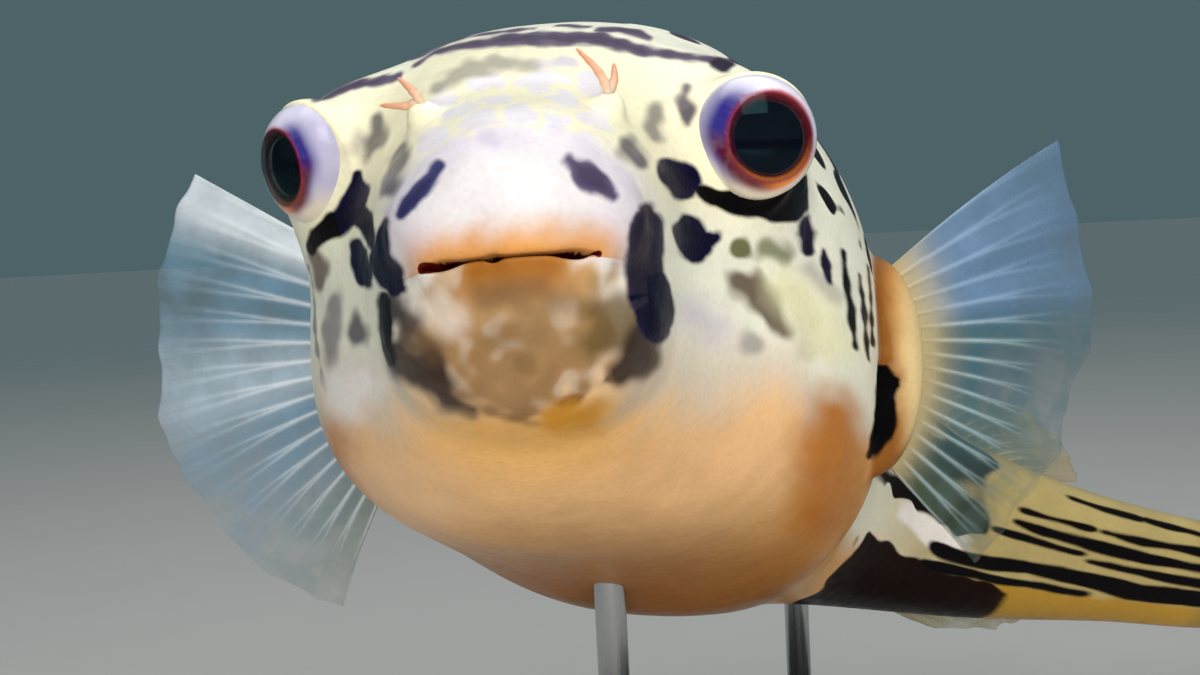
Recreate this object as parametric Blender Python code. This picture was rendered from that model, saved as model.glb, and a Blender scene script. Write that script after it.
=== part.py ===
"""Giant freshwater puffer, Tetraodon mbu: a life-size museum model on a plain display stand.

The fish is first described straight, in its own coordinates in metres: x towards its left side,
y from the tip of the snout back along the spine, z up from the mouth line. bend() carries those
points onto the curved spine of the turning fish. In the world +Z is up, the fish looks along -Y,
its tail swings to +X, and the origin is the middle of the underside of the stand's base.
"""
import math

import bpy
import numpy as np
from mathutils import Vector

# The fish's driving sizes.
STANDARD_LENGTH = 0.400        # snout to the root of the tail fin
GAP = 0.0003                   # clear space between two pieces that meet
SNOUT_AT = (-0.035, -0.145, 0.168)
SWEEP_CENTRE = 0.085           # the head is swept round this station of the spine
SIDES = 36                     # facets round the body

# Outline of the body: station along the spine, half width, height of the back, depth of the belly.
SECTIONS = [
    (0.006, 0.0120, 0.0100, 0.0080),
    (0.022, 0.0200, 0.0240, 0.0205),
    (0.045, 0.0305, 0.0420, 0.0340),
    (0.058, 0.0380, 0.0500, 0.0390),
    (0.075, 0.0475, 0.0575, 0.0440),
    (0.100, 0.0560, 0.0640, 0.0485),
    (0.130, 0.0595, 0.0650, 0.0535),
    (0.165, 0.0560, 0.0590, 0.0575),
    (0.200, 0.0465, 0.0500, 0.0520),
    (0.240, 0.0350, 0.0400, 0.0400),
    (0.280, 0.0265, 0.0320, 0.0305),
    (0.320, 0.0195, 0.0255, 0.0235),
    (0.360, 0.0140, 0.0205, 0.0185),
    (0.400, 0.0095, 0.0175, 0.0165),
]
STATIONS, HALF_WIDTH, BACK, BELLY = (np.array(column) for column in zip(*SECTIONS))
BACK_POWER = 2.55              # superellipse powers of the upper and lower half of a section
BELLY_POWER = 2.3
SNOUT_CAP = 0.006

# Rounded masses joined to the body: centre, radii and width of the blend (x is mirrored).
MUZZLE = ((0.0, 0.028, 0.010), (0.0200, 0.0260, 0.0180), 0.012)
CHIN = ((0.0, 0.0265, -0.0085), (0.0215, 0.0205, 0.0150), 0.005)
UPPER_LIP = ((0.0, 0.0115, 0.0070), (0.0190, 0.0115, 0.0085), 0.005)
LOWER_LIP = ((0.0, 0.0150, -0.0055), (0.0165, 0.0105, 0.0055), 0.004)
ORBIT = ((0.0345, 0.072, 0.0285), (0.0150, 0.0190, 0.0165), 0.012)

# Where the body is divided into pieces.
HEAD_END = 0.116
TRUNK_END = 0.235
REAR_END = 0.320

# Each eye is a globe flattened along its gaze. It turns on its own, as a puffer's eyes do.
EYE_RADIUS = 0.0113
EYE_HALF_DEPTH = 0.0078
EYE_CENTRE = {"left": (0.0410, 0.0545, 0.0285), "right": (0.0405, 0.0570, 0.0285)}
GAZE = {"left": (6.0, 3.0), "right": (48.0, -9.0)}   # degrees outward from straight ahead, and upward

# The lower jaw is cut out below the mouth line by a block, seen here from the front as (x, z).
JAW_OUTLINE = [(0.0138, 0.0), (0.0205, -0.008), (0.0190, -0.017), (0.0105, -0.0235)]
JAW_BACK = 0.034
JAW_FRONT = -0.020

# Forked nostril tentacles: root, and for each prong (outward, back, up) steps from it.
NOSTRIL = (0.0155, 0.0300, 0.0315)
STALK = [(0.0, 0.0035, -0.0045), (0.0, 0.0, 0.0)]
PRONGS = {
    "left": ([(-0.0016, -0.0006, 0.0040), (-0.0051, 0.0, 0.0083)],
             [(0.0010, 0.0006, 0.0028), (0.0011, 0.0016, 0.0059)]),
    "right": ([(0.0014, -0.0004, 0.0024), (0.0038, 0.0006, 0.0050)],
              [(0.0030, 0.0008, 0.0002), (0.0072, 0.0020, 0.0008)]),
}
PRONG_RADII = [0.0012, 0.0012, 0.0009, 0.0005]

# Pectoral fins, each on a fleshy base behind the gill opening.
PECTORAL_STATION = 0.140
PECTORAL_BASE = ((0.0565, 0.142, -0.0030), (0.0115, 0.0085, 0.0250))
GILL_OPENING = ((0.0600, 0.1315, -0.0150), (0.0060, 0.0030, 0.0110))
PECTORAL_ROOT_X = 0.0595
PECTORAL_ROOT_BULGE = 0.0065
PECTORAL_ROOT_Z = (0.0185, -0.0245)
PECTORAL_RAYS = 13
PECTORAL_LENGTHS = [0.067, 0.064, 0.060, 0.052, 0.041]
PECTORAL_FAN = {"left": (49.0, -50.0), "right": (28.0, -63.0)}   # rise of first and last ray, degrees
PECTORAL_SWEEP = {"left": [22, 36, 46, 46, 42], "right": [-22, -18, -12, -4, 4]}   # degrees back, ray by ray
PECTORAL_TIP_BEND = 12.0                 # degrees that the tips trail behind the roots

# Median fins: root stations, first and last ray angle above the spine, how far the fin has swung
# over to the fish's right in its stroke, in degrees, ray lengths and count.
DORSAL = {"roots": (0.280, 0.320), "angles": (50.0, 14.0), "swing": 48.0, "rays": 10,
          "lengths": [0.034, 0.046, 0.045, 0.036, 0.024]}
ANAL = {"roots": (0.280, 0.314), "angles": (-22.0, -7.0), "swing": 45.0, "rays": 9,
        "lengths": [0.020, 0.028, 0.029, 0.026, 0.019]}
TAIL_FIN = {"half_root": 0.0160, "spread": 8.5, "rays": 9,
            "lengths": [0.080, 0.096, 0.100, 0.096, 0.080]}
FIN_ROOT_DEPTH = 0.006                   # how far a fin's root starts inside the body before it is cut
FIN_TIP_THICKNESS = 0.0007

# Display stand.
BASE_HALF = (0.105, 0.095)
BASE_THICKNESS = 0.016
BASE_POWER = 3.2                         # superellipse power of the base's outline
BASE_BEVEL = 0.0025
ROD_RADIUS = 0.0035
ROD_INTO_BODY = 0.015
ROD_INTO_BASE = 0.010
ROD_STATIONS = {"front": 0.132, "rear": 0.262}

SKIN_CREAM = (0.78, 0.72, 0.50)
SKIN_PEACH = (0.72, 0.45, 0.27)
FIN_BLUE = (0.47, 0.55, 0.58)
EYE_DARK = (0.05, 0.02, 0.03)
TENTACLE_PINK = (0.85, 0.52, 0.36)
STAND_GREY = (0.09, 0.10, 0.11)
ROD_STEEL = (0.55, 0.56, 0.57)


def smooth(start, end, value):
    t = np.clip((value - start) / (end - start), 0.0, 1.0)
    return t * t * (3.0 - 2.0 * t)


def yaw(y):
    """Turn of the spine to the fish's left at a station, in radians."""
    return np.radians(18.0 * smooth(0.03, 0.13, y) + 56.0 * smooth(0.15, 0.31, y))


def pitch(y):
    """Fall of the spine towards the tail at a station, in radians."""
    fall = 9.0 + 17.0 * smooth(0.08, 0.20, y) - 12.0 * smooth(0.25, 0.36, y) - 9.0 * smooth(0.37, 0.45, y)
    return np.radians(fall)


def widest_level(y):
    return -0.010 * smooth(0.05, 0.11, y) + 0.010 * smooth(0.17, 0.29, y)


def profile(y, val):
    """Monotone curve through one column of SECTIONS."""
    at = STATIONS
    slope = np.diff(val) / np.diff(at)
    tangent = np.concatenate([slope[:1], (slope[:-1] + slope[1:]) / 2, slope[-1:]])
    for k, rise in enumerate(slope):
        if abs(rise) < 1e-9:
            tangent[k] = tangent[k + 1] = 0.0
            continue
        steepness = math.hypot(tangent[k] / rise, tangent[k + 1] / rise)
        if steepness > 3.0:
            tangent[k] *= 3.0 / steepness
            tangent[k + 1] *= 3.0 / steepness
    y = np.clip(y, at[0], at[-1])
    k = np.clip(np.searchsorted(at, y, side="right") - 1, 0, len(at) - 2)
    step = at[k + 1] - at[k]
    t = (y - at[k]) / step
    start = (2 * t**3 - 3 * t**2 + 1) * val[k] + (t**3 - 2 * t**2 + t) * step * tangent[k]
    return start + (3 * t**2 - 2 * t**3) * val[k + 1] + (t**3 - t**2) * step * tangent[k + 1]


def torso(p):
    """Signed field of the body without its rounded masses, negative inside."""
    y = p[:, 1]
    level = widest_level(y)
    width = profile(y, HALF_WIDTH)
    z = p[:, 2] - level
    height = np.where(z > 0, profile(y, BACK) - level, profile(y, BELLY) + level)
    power = np.where(z > 0, BACK_POWER, BELLY_POWER)
    section = ((np.abs(p[:, 0]) / width) ** power + (np.abs(z) / height) ** power) ** (1.0 / power)
    ahead = np.maximum(STATIONS[0] - y, 0.0) / SNOUT_CAP
    return (np.hypot(section, ahead) - 1.0) * np.minimum(width, height)


def ellipsoid(p, centre, radii):
    q = (p - np.array(centre)) / np.array(radii)
    length = np.linalg.norm(q, axis=1)
    return length * (length - 1.0) / (np.linalg.norm(q / np.array(radii), axis=1) + 1e-9)


def blend(a, b, width):
    h = np.clip(0.5 + 0.5 * (b - a) / width, 0.0, 1.0)
    return b * (1.0 - h) + a * h - width * h * (1.0 - h)


def body(p):
    """Signed field of the whole body with muzzle, chin, lips and the swellings behind the eyes."""
    q = np.column_stack([np.abs(p[:, 0]), p[:, 1], p[:, 2]])
    distance = torso(q)
    for centre, radii, width in (MUZZLE, CHIN, UPPER_LIP, LOWER_LIP, ORBIT):
        distance = blend(distance, ellipsoid(q, centre, radii), width)
    return distance


def cast(origin, directions, reach=0.16, steps=64, halvings=18):
    """Where rays from one origin leave the body for the last time."""
    t = np.linspace(0.0, reach, steps)
    points = origin + directions[:, None, :] * t[None, :, None]
    inside = body(points.reshape(-1, 3)).reshape(len(directions), steps) < 0
    last = np.minimum(steps - 1 - np.argmax(inside[:, ::-1], axis=1), steps - 2)
    near, far = t[last], t[last + 1]
    for _ in range(halvings):
        middle = (near + far) / 2
        within = body(origin + directions * middle[:, None]) < 0
        near = np.where(within, middle, near)
        far = np.where(within, far, middle)
    return origin + directions * near[:, None]


def head_ring(polar):
    """Ring of the swept head: polar is 0 at the snout and 90 degrees at the sweep centre's section."""
    turn = np.linspace(0.0, 2 * math.pi, SIDES, endpoint=False)
    flat = 0.15 + 0.85 * float(smooth(math.radians(6), math.radians(45), polar))
    rays = np.column_stack([np.sin(turn) * math.sin(polar), np.full(SIDES, -math.cos(polar)),
                            np.cos(turn) * math.sin(polar) * flat])
    rays /= np.linalg.norm(rays, axis=1)[:, None]
    return cast(np.array([0.0, SWEEP_CENTRE, 0.0]), rays)


def section_ring(station):
    turn = np.linspace(0.0, 2 * math.pi, SIDES, endpoint=False)
    rays = np.column_stack([np.sin(turn), np.zeros(SIDES), np.cos(turn)])
    return cast(np.array([0.0, station, 0.0]), rays)


def snout_tip():
    return cast(np.array([0.0, SWEEP_CENTRE, 0.0]), np.array([[0.0, -1.0, 0.0]]))


def bend(points, station=None):
    """Straight coordinates to world. With a station, the points go there as one rigid piece."""
    points = np.asarray(points, float).reshape(-1, 3)
    along = np.linspace(-0.05, 0.55, 1201)
    step = along[1] - along[0]
    turn, fall = yaw(along), pitch(along)
    heading = np.column_stack([np.sin(turn) * np.cos(fall), np.cos(turn) * np.cos(fall), -np.sin(fall)])
    spine = np.vstack([np.zeros(3), np.cumsum((heading[1:] + heading[:-1]) / 2 * step, axis=0)])
    spine += np.array(SNOUT_AT) - spine[np.searchsorted(along, 0.0)]
    y = points[:, 1] if station is None else np.full(len(points), station)
    centre = np.column_stack([np.interp(y, along, spine[:, k]) for k in range(3)])
    turn, fall = yaw(y), pitch(y)
    back = np.column_stack([np.sin(turn) * np.cos(fall), np.cos(turn) * np.cos(fall), -np.sin(fall)])
    left = np.column_stack([np.cos(turn), -np.sin(turn), np.zeros(len(y))])
    up = np.cross(left, back)
    return centre + left * points[:, :1] + up * points[:, 2:3] + back * (points[:, 1] - y)[:, None]


def material(name, color, roughness, metallic=0.0):
    made = bpy.data.materials.get(name) or bpy.data.materials.new(name)
    made.use_nodes = True
    shader = made.node_tree.nodes["Principled BSDF"]
    shader.inputs["Base Color"].default_value = (*color, 1.0)
    shader.inputs["Roughness"].default_value = roughness
    shader.inputs["Metallic"].default_value = metallic
    return made


def add_mesh(name, points, faces, finish=None):
    """New object from world points and faces, with its faces turned outward."""
    mesh = bpy.data.meshes.new(name)
    mesh.from_pydata([tuple(p) for p in points], [], faces)
    mesh.validate()
    volume = sum(Vector(mesh.vertices[t.vertices[0]].co).dot(
        Vector(mesh.vertices[t.vertices[1]].co).cross(mesh.vertices[t.vertices[2]].co))
        for t in loop_triangles(mesh))
    if volume < 0:
        mesh.flip_normals()
    if finish:
        mesh.materials.append(finish)
    mesh.shade_smooth()
    mesh.set_sharp_from_angle(angle=math.radians(40))
    made = bpy.data.objects.new(name, mesh)
    bpy.context.scene.collection.objects.link(made)
    return made


def loop_triangles(mesh):
    mesh.calc_loop_triangles()
    return mesh.loop_triangles


def helper(made):
    """A cutter: it shapes other pieces and is no piece itself."""
    made.hide_render = True
    made.display_type = "WIRE"
    return made


def cut(piece, cutter, operation="DIFFERENCE"):
    modifier = piece.modifiers.new(cutter.name, "BOOLEAN")
    modifier.object = cutter
    modifier.operation = operation
    modifier.solver = "EXACT"


def ring_faces(rings, sides):
    quads = [(a * sides + j, a * sides + (j + 1) % sides) for a in range(rings - 1) for j in range(sides)]
    return [(near, nxt, nxt + sides, near + sides) for near, nxt in quads]


def loft(rings, tip=None):
    """Points and faces of a closed loft: flat ends, or a pointed start where a tip is given."""
    sides = len(rings[0])
    points = [p for ring in rings for p in ring]
    faces = ring_faces(len(rings), sides)
    last = (len(rings) - 1) * sides
    faces.append(tuple(range(last, last + sides)))
    if tip is None:
        faces.append(tuple(reversed(range(sides))))
    else:
        points.append(tip)
        faces += [(len(points) - 1, (j + 1) % sides, j) for j in range(sides)]
    return np.array(points), faces


def body_segment(start, end, count):
    """Rings of the body from one station to another, held off the neighbours by half a gap."""
    return [section_ring(s) for s in np.linspace(start + GAP / 2, end - GAP / 2, count)]


def head_rings():
    polar = np.radians([4.0, 9.0, 14.0, 19.0, 24.0, 29.5, 35.0, 42.0, 50.0, 58.0, 66.0, 74.0, 82.0, 90.0])
    swept = [head_ring(angle) for angle in polar]
    return swept + [section_ring(s) for s in np.linspace(SWEEP_CENTRE, HEAD_END - GAP / 2, 4)[1:]]


def make_flesh():
    """Head, lower jaw, trunk, rear body and tail stalk."""
    cream = material("skin_cream", SKIN_CREAM, 0.45)
    peach = material("skin_peach", SKIN_PEACH, 0.45)
    tip = snout_tip()[0]
    points, faces = loft(head_rings(), tip)
    pieces = {"head": add_mesh("head", bend(points), faces, cream),
              "lower_jaw": add_mesh("lower_jaw", bend(points), faces, peach)}
    spans = {"trunk": (HEAD_END, TRUNK_END, 10), "rear_body": (TRUNK_END, REAR_END, 7),
             "tail_stalk": (REAR_END, STANDARD_LENGTH, 6)}
    for name, (start, end, count) in spans.items():
        points, faces = loft(body_segment(start, end, count))
        pieces[name] = add_mesh(name, bend(points), faces, cream)
    return pieces


def flesh_clearance():
    """The whole body grown by a gap, which trims whatever grows out of it."""
    tip = snout_tip()[0]
    rings = head_rings() + body_segment(HEAD_END, STANDARD_LENGTH, 21)
    points, faces = loft(rings, tip)
    whole = add_mesh("flesh_clearance", bend(points), faces)
    grown = [v.co + v.normal * (GAP + 0.0001) for v in whole.data.vertices]
    for vertex, place in zip(whole.data.vertices, grown):
        vertex.co = place
    return helper(whole)


def jaw_block(name, grow):
    """The block that divides the lower jaw from the head."""
    half = [(x + grow, z + (grow if z == 0.0 else -grow)) for x, z in JAW_OUTLINE]
    outline = half + [(-x, z) for x, z in reversed(half)]
    rings = [[(x, y, z) for x, z in outline] for y in (JAW_FRONT, JAW_BACK + grow)]
    points, faces = loft(rings)
    return helper(add_mesh(name, bend(points, 0.02), faces))


def globe(centre, radii, sides=24, rows=12):
    """Points and faces of an ellipsoid about a vertical axis."""
    rings = []
    for row in range(1, rows):
        polar = math.pi * row / rows
        rings.append([(centre[0] + radii[0] * math.sin(polar) * math.cos(2 * math.pi * j / sides),
                       centre[1] + radii[1] * math.sin(polar) * math.sin(2 * math.pi * j / sides),
                       centre[2] + radii[2] * math.cos(polar)) for j in range(sides)])
    points = [p for ring in rings for p in ring]
    faces = ring_faces(len(rings), sides)
    top = len(points)
    points += [(centre[0], centre[1], centre[2] + radii[2]), (centre[0], centre[1], centre[2] - radii[2])]
    last = (len(rings) - 1) * sides
    faces += [(top, (j + 1) % sides, j) for j in range(sides)]
    faces += [(top + 1, last + j, last + (j + 1) % sides) for j in range(sides)]
    return np.array(points), faces


def mirrored(points, sign):
    return np.asarray(points) * np.array([sign, 1.0, 1.0])


def make_eye(side, sign, flesh):
    """Eyeball turned along its gaze, in a socket cut to fit."""
    centre = Vector(bend(mirrored([EYE_CENTRE[side]], sign))[0])
    outward, upward = np.radians(GAZE[side])
    gaze = Vector((sign * math.sin(outward) * math.cos(upward), -math.cos(outward) * math.cos(upward),
                   math.sin(upward)))
    turned = gaze.to_track_quat("Z", "Y").to_matrix()

    def placed(grow, sides, rows):
        across, deep = EYE_RADIUS + grow, EYE_HALF_DEPTH + grow
        points, faces = globe((0, 0, 0), (across, across, deep), sides, rows)
        return [centre + turned @ Vector(p) for p in points], faces

    add_mesh(f"eye_{side}", *placed(0.0, 20, 12), material("eye_dark", EYE_DARK, 0.08))
    cut(flesh["head"], helper(add_mesh(f"socket_{side}", *placed(GAP + 0.0003, 20, 12))))


def tube(path, radii, sides=6):
    """Points and faces of a closed tapering tube along a path."""
    path = np.array(path)
    rings = []
    for k, radius in enumerate(radii):
        along = Vector(path[min(k + 1, len(path) - 1)] - path[max(k - 1, 0)]).normalized()
        across = along.orthogonal() if k == 0 else across - along * across.dot(along)
        across.normalize()
        third = along.cross(across)
        rings.append([np.array(Vector(path[k]) + (across * math.cos(2 * math.pi * j / sides)
                                                  + third * math.sin(2 * math.pi * j / sides)) * radius)
                      for j in range(sides)])
    return loft(rings)


def rounded_path(points, radii, count=7):
    """A smooth Catmull-Rom path and its radii through a few control points."""
    points = np.vstack([2 * np.array(points[0]) - points[1], points, 2 * np.array(points[-1]) - points[-2]])
    t = np.linspace(0, len(points) - 3 - 1e-9, count)
    k = t.astype(int)
    f = (t - k)[:, None]
    a, b, c, d = points[k], points[k + 1], points[k + 2], points[k + 3]
    path = 0.5 * (2 * b + (c - a) * f + (2 * a - 5 * b + 4 * c - d) * f**2 + (3 * b - a - 3 * c + d) * f**3)
    return path, np.interp(t, range(len(radii)), radii)


def make_tentacle(side, sign, clearance):
    """Forked nostril tentacle: two prongs joined at one stalk."""
    prongs = []
    for label, steps in zip(("", "_prong"), PRONGS[side]):
        steps = [(sign * (NOSTRIL[0] + dx), NOSTRIL[1] + dy, NOSTRIL[2] + dz) for dx, dy, dz in STALK + steps]
        path, radii = rounded_path(steps, PRONG_RADII)
        points, faces = tube(path, radii)
        prongs.append(add_mesh(f"nasal_tentacle_{side}{label}", bend(points, NOSTRIL[1]), faces,
                               material("tentacle_pink", TENTACLE_PINK, 0.5)))
    cut(prongs[0], helper(prongs[1]), "UNION")
    cut(prongs[0], clearance)
    return prongs[0]


def curve(values, u):
    return float(np.interp(u, np.linspace(0, 1, len(values)), values))


def plate(root, ray, rays, rows, root_thickness, ripple=0.35):
    """Points and faces of a fin: ray(u, v) gives its midpoints, thicker along each bony ray."""
    columns = 2 * rays + 1
    us, vs = np.linspace(0, 1, columns), np.linspace(0, 1, rows)
    middle = np.array([[root(u) + ray(u, v) for v in vs] for u in us])
    across = np.gradient(middle, axis=0)
    along = np.gradient(middle, axis=1)
    normal = np.cross(across, along)
    normal /= np.linalg.norm(normal, axis=2)[:, :, None]
    taper = root_thickness + (FIN_TIP_THICKNESS - root_thickness) * smooth(0.0, 0.6, vs)
    ridge = np.where(np.arange(columns) % 2 == 1, 1.0 + ripple, 1.0)
    half = (ridge[:, None] * taper[None, :] / 2)[:, :, None]
    sheets = (middle + normal * half, middle - normal * half)
    points = np.concatenate([sheet.reshape(-1, 3) for sheet in sheets])
    return points, plate_faces(columns, rows)


def plate_faces(columns, rows):
    """Faces of a closed plate: front sheet, back sheet and the rim between them."""
    sheet = columns * rows
    faces = []
    for i in range(columns - 1):
        for j in range(rows - 1):
            a, b, c, d = i * rows + j, (i + 1) * rows + j, (i + 1) * rows + j + 1, i * rows + j + 1
            faces += [(a, b, c, d), (d + sheet, c + sheet, b + sheet, a + sheet)]
    rim = [i * rows for i in range(columns)] + [(columns - 1) * rows + j for j in range(1, rows)]
    rim += [i * rows + rows - 1 for i in range(columns - 2, -1, -1)] + [j for j in range(rows - 2, 0, -1)]
    for k, a in enumerate(rim):
        b = rim[(k + 1) % len(rim)]
        faces.append((b, a, a + sheet, b + sheet))
    return faces


def ray_path(angle, length, v):
    """A point on a ray in the plane of the spine, the tip drooping slightly backward."""
    lean = math.radians(angle) * (1.0 - 0.18 * v)
    return np.array([0.0, math.cos(lean), math.sin(lean)]) * length * v


def make_median_fin(name, shape, edge, clearance):
    """Dorsal or anal fin, rooted in the back or the belly line."""
    up = math.copysign(1.0, shape["angles"][0])

    def root(u):
        y = shape["roots"][0] + (shape["roots"][1] - shape["roots"][0]) * u
        return np.array([0.0, y, up * (float(profile(np.array([y]), edge)[0]) - FIN_ROOT_DEPTH)])

    def ray(u, v):
        _, back, rise = ray_path(curve(shape["angles"], u), curve(shape["lengths"], u) + FIN_ROOT_DEPTH, v)
        swing = math.radians(shape["swing"]) * smooth(0.0, 0.7, v)
        return np.array([-abs(rise) * math.sin(swing), back, rise * math.cos(swing)])

    points, faces = plate(root, ray, shape["rays"], 7, 0.0022)
    fin = add_mesh(name, bend(points), faces, material("fin_blue", FIN_BLUE, 0.35))
    cut(fin, clearance)
    return fin


def make_tail_fin():
    half, spread = TAIL_FIN["half_root"], TAIL_FIN["spread"]

    def root(u):
        return np.array([0.0, STANDARD_LENGTH + GAP, half * (1 - 2 * u)])

    def ray(u, v):
        return ray_path(spread * (1 - 2 * u), curve(TAIL_FIN["lengths"], u), v)

    points, faces = plate(root, ray, TAIL_FIN["rays"], 9, 0.0050, 0.2)
    return add_mesh("tail_fin", bend(points), faces, material("fin_blue", FIN_BLUE, 0.35))


def make_pectoral(side, sign, flesh, clearance):
    """Fleshy base, gill opening in front of it, and the fan of the fin on it."""
    points, faces = globe(*PECTORAL_BASE, 20, 12)
    base = add_mesh(f"pectoral_base_{side}", bend(mirrored(points, sign), PECTORAL_STATION), faces,
                    material("skin_peach", SKIN_PEACH, 0.45))
    cut(base, clearance)
    points, faces = globe(*GILL_OPENING, 16, 10)
    gill = helper(add_mesh(f"gill_cutter_{side}", bend(mirrored(points, sign), PECTORAL_STATION), faces))
    cut(flesh["trunk"], gill)
    cut(base, gill)
    grown = tuple(r + GAP + 0.0002 for r in PECTORAL_BASE[1])
    points, faces = globe(PECTORAL_BASE[0], grown, 20, 12)
    room = helper(add_mesh(f"pectoral_room_{side}", bend(mirrored(points, sign), PECTORAL_STATION), faces))
    first, last = PECTORAL_FAN[side]

    def root(u):
        z = PECTORAL_ROOT_Z[0] + (PECTORAL_ROOT_Z[1] - PECTORAL_ROOT_Z[0]) * u
        x = PECTORAL_ROOT_X + PECTORAL_ROOT_BULGE * math.sin(math.pi * u)
        return np.array([x, PECTORAL_BASE[0][1] + 0.002 * u, z])

    def ray(u, v):
        rise = math.radians(first + (last - first) * u)
        sweep = math.radians(curve(PECTORAL_SWEEP[side], u) + PECTORAL_TIP_BEND * v)
        reach = curve(PECTORAL_LENGTHS, u) * v
        out = math.cos(sweep)
        return np.array([math.cos(rise) * out, math.sin(sweep), math.sin(rise) * out]) * reach

    points, faces = plate(root, ray, PECTORAL_RAYS, 7, 0.0016)
    fin = add_mesh(f"pectoral_fin_{side}", bend(mirrored(points, sign), PECTORAL_STATION), faces,
                   material("fin_blue", FIN_BLUE, 0.35))
    cut(fin, room)
    cut(fin, clearance)


def cylinder(name, centre, radius, bottom, top, sides, finish=None):
    ring = [(centre[0] + radius * math.cos(2 * math.pi * j / sides),
             centre[1] + radius * math.sin(2 * math.pi * j / sides)) for j in range(sides)]
    points, faces = loft([[(x, y, z) for x, y in ring] for z in (bottom, top)])
    return add_mesh(name, points, faces, finish)


def make_stand(flesh):
    """Flat base with softened edge and two rods up into the belly and the rear body."""
    count = 48
    outline = []
    for k in range(count):
        c, s = math.cos(2 * math.pi * k / count), math.sin(2 * math.pi * k / count)
        grow = (abs(c) ** BASE_POWER + abs(s) ** BASE_POWER) ** (-1.0 / BASE_POWER)
        outline.append((BASE_HALF[0] * c * grow, BASE_HALF[1] * s * grow))
    inset = [(x * (1 - BASE_BEVEL / BASE_HALF[0]), y * (1 - BASE_BEVEL / BASE_HALF[1])) for x, y in outline]
    rings = [[(x, y, 0.0) for x, y in outline], [(x, y, BASE_THICKNESS - BASE_BEVEL) for x, y in outline],
             [(x, y, BASE_THICKNESS) for x, y in inset]]
    points, faces = loft(rings)
    base = add_mesh("stand_base", points, faces, material("stand_grey", STAND_GREY, 0.5))
    for label, station in ROD_STATIONS.items():
        piece = flesh["trunk" if station < TRUNK_END else "rear_body"]
        belly = float(profile(np.array([station]), BELLY)[0])
        skin = bend([(0.0, station, -belly)])[0]
        bottom, top = BASE_THICKNESS - ROD_INTO_BASE, skin[2] + ROD_INTO_BODY
        steel = material("rod_steel", ROD_STEEL, 0.3, 1.0)
        cylinder(f"stand_rod_{label}", skin, ROD_RADIUS, bottom, top, 16, steel)
        hole = cylinder(f"rod_hole_{label}", skin, ROD_RADIUS + GAP + 0.0001, bottom - GAP, top + GAP, 16)
        cut(base, helper(hole))
        cut(piece, hole)


def clear_scene():
    for old in list(bpy.data.objects):
        bpy.data.objects.remove(old)


def main():
    clear_scene()
    flesh = make_flesh()
    clearance = flesh_clearance()
    cut(flesh["lower_jaw"], jaw_block("jaw_block", -GAP / 2), "INTERSECT")
    cut(flesh["head"], jaw_block("jaw_room", GAP / 2))
    for side, sign in (("left", 1), ("right", -1)):
        make_eye(side, sign, flesh)
        make_tentacle(side, sign, clearance)
        make_pectoral(side, sign, flesh, clearance)
    make_median_fin("dorsal_fin", DORSAL, BACK, clearance)
    make_median_fin("anal_fin", ANAL, BELLY, clearance)
    make_tail_fin()
    make_stand(flesh)


main()
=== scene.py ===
# Giant freshwater puffer on its display stand: skin, eyes, nostril tentacles, fins and the stand.
# Straight coordinates, in metres: x to the fish's left, y from the snout tip back along the spine,
# z up from the mouth line. bendSpine carries them onto the turning fish.
import math

import bpy
import numpy as np
from mathutils import Matrix, Vector


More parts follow.
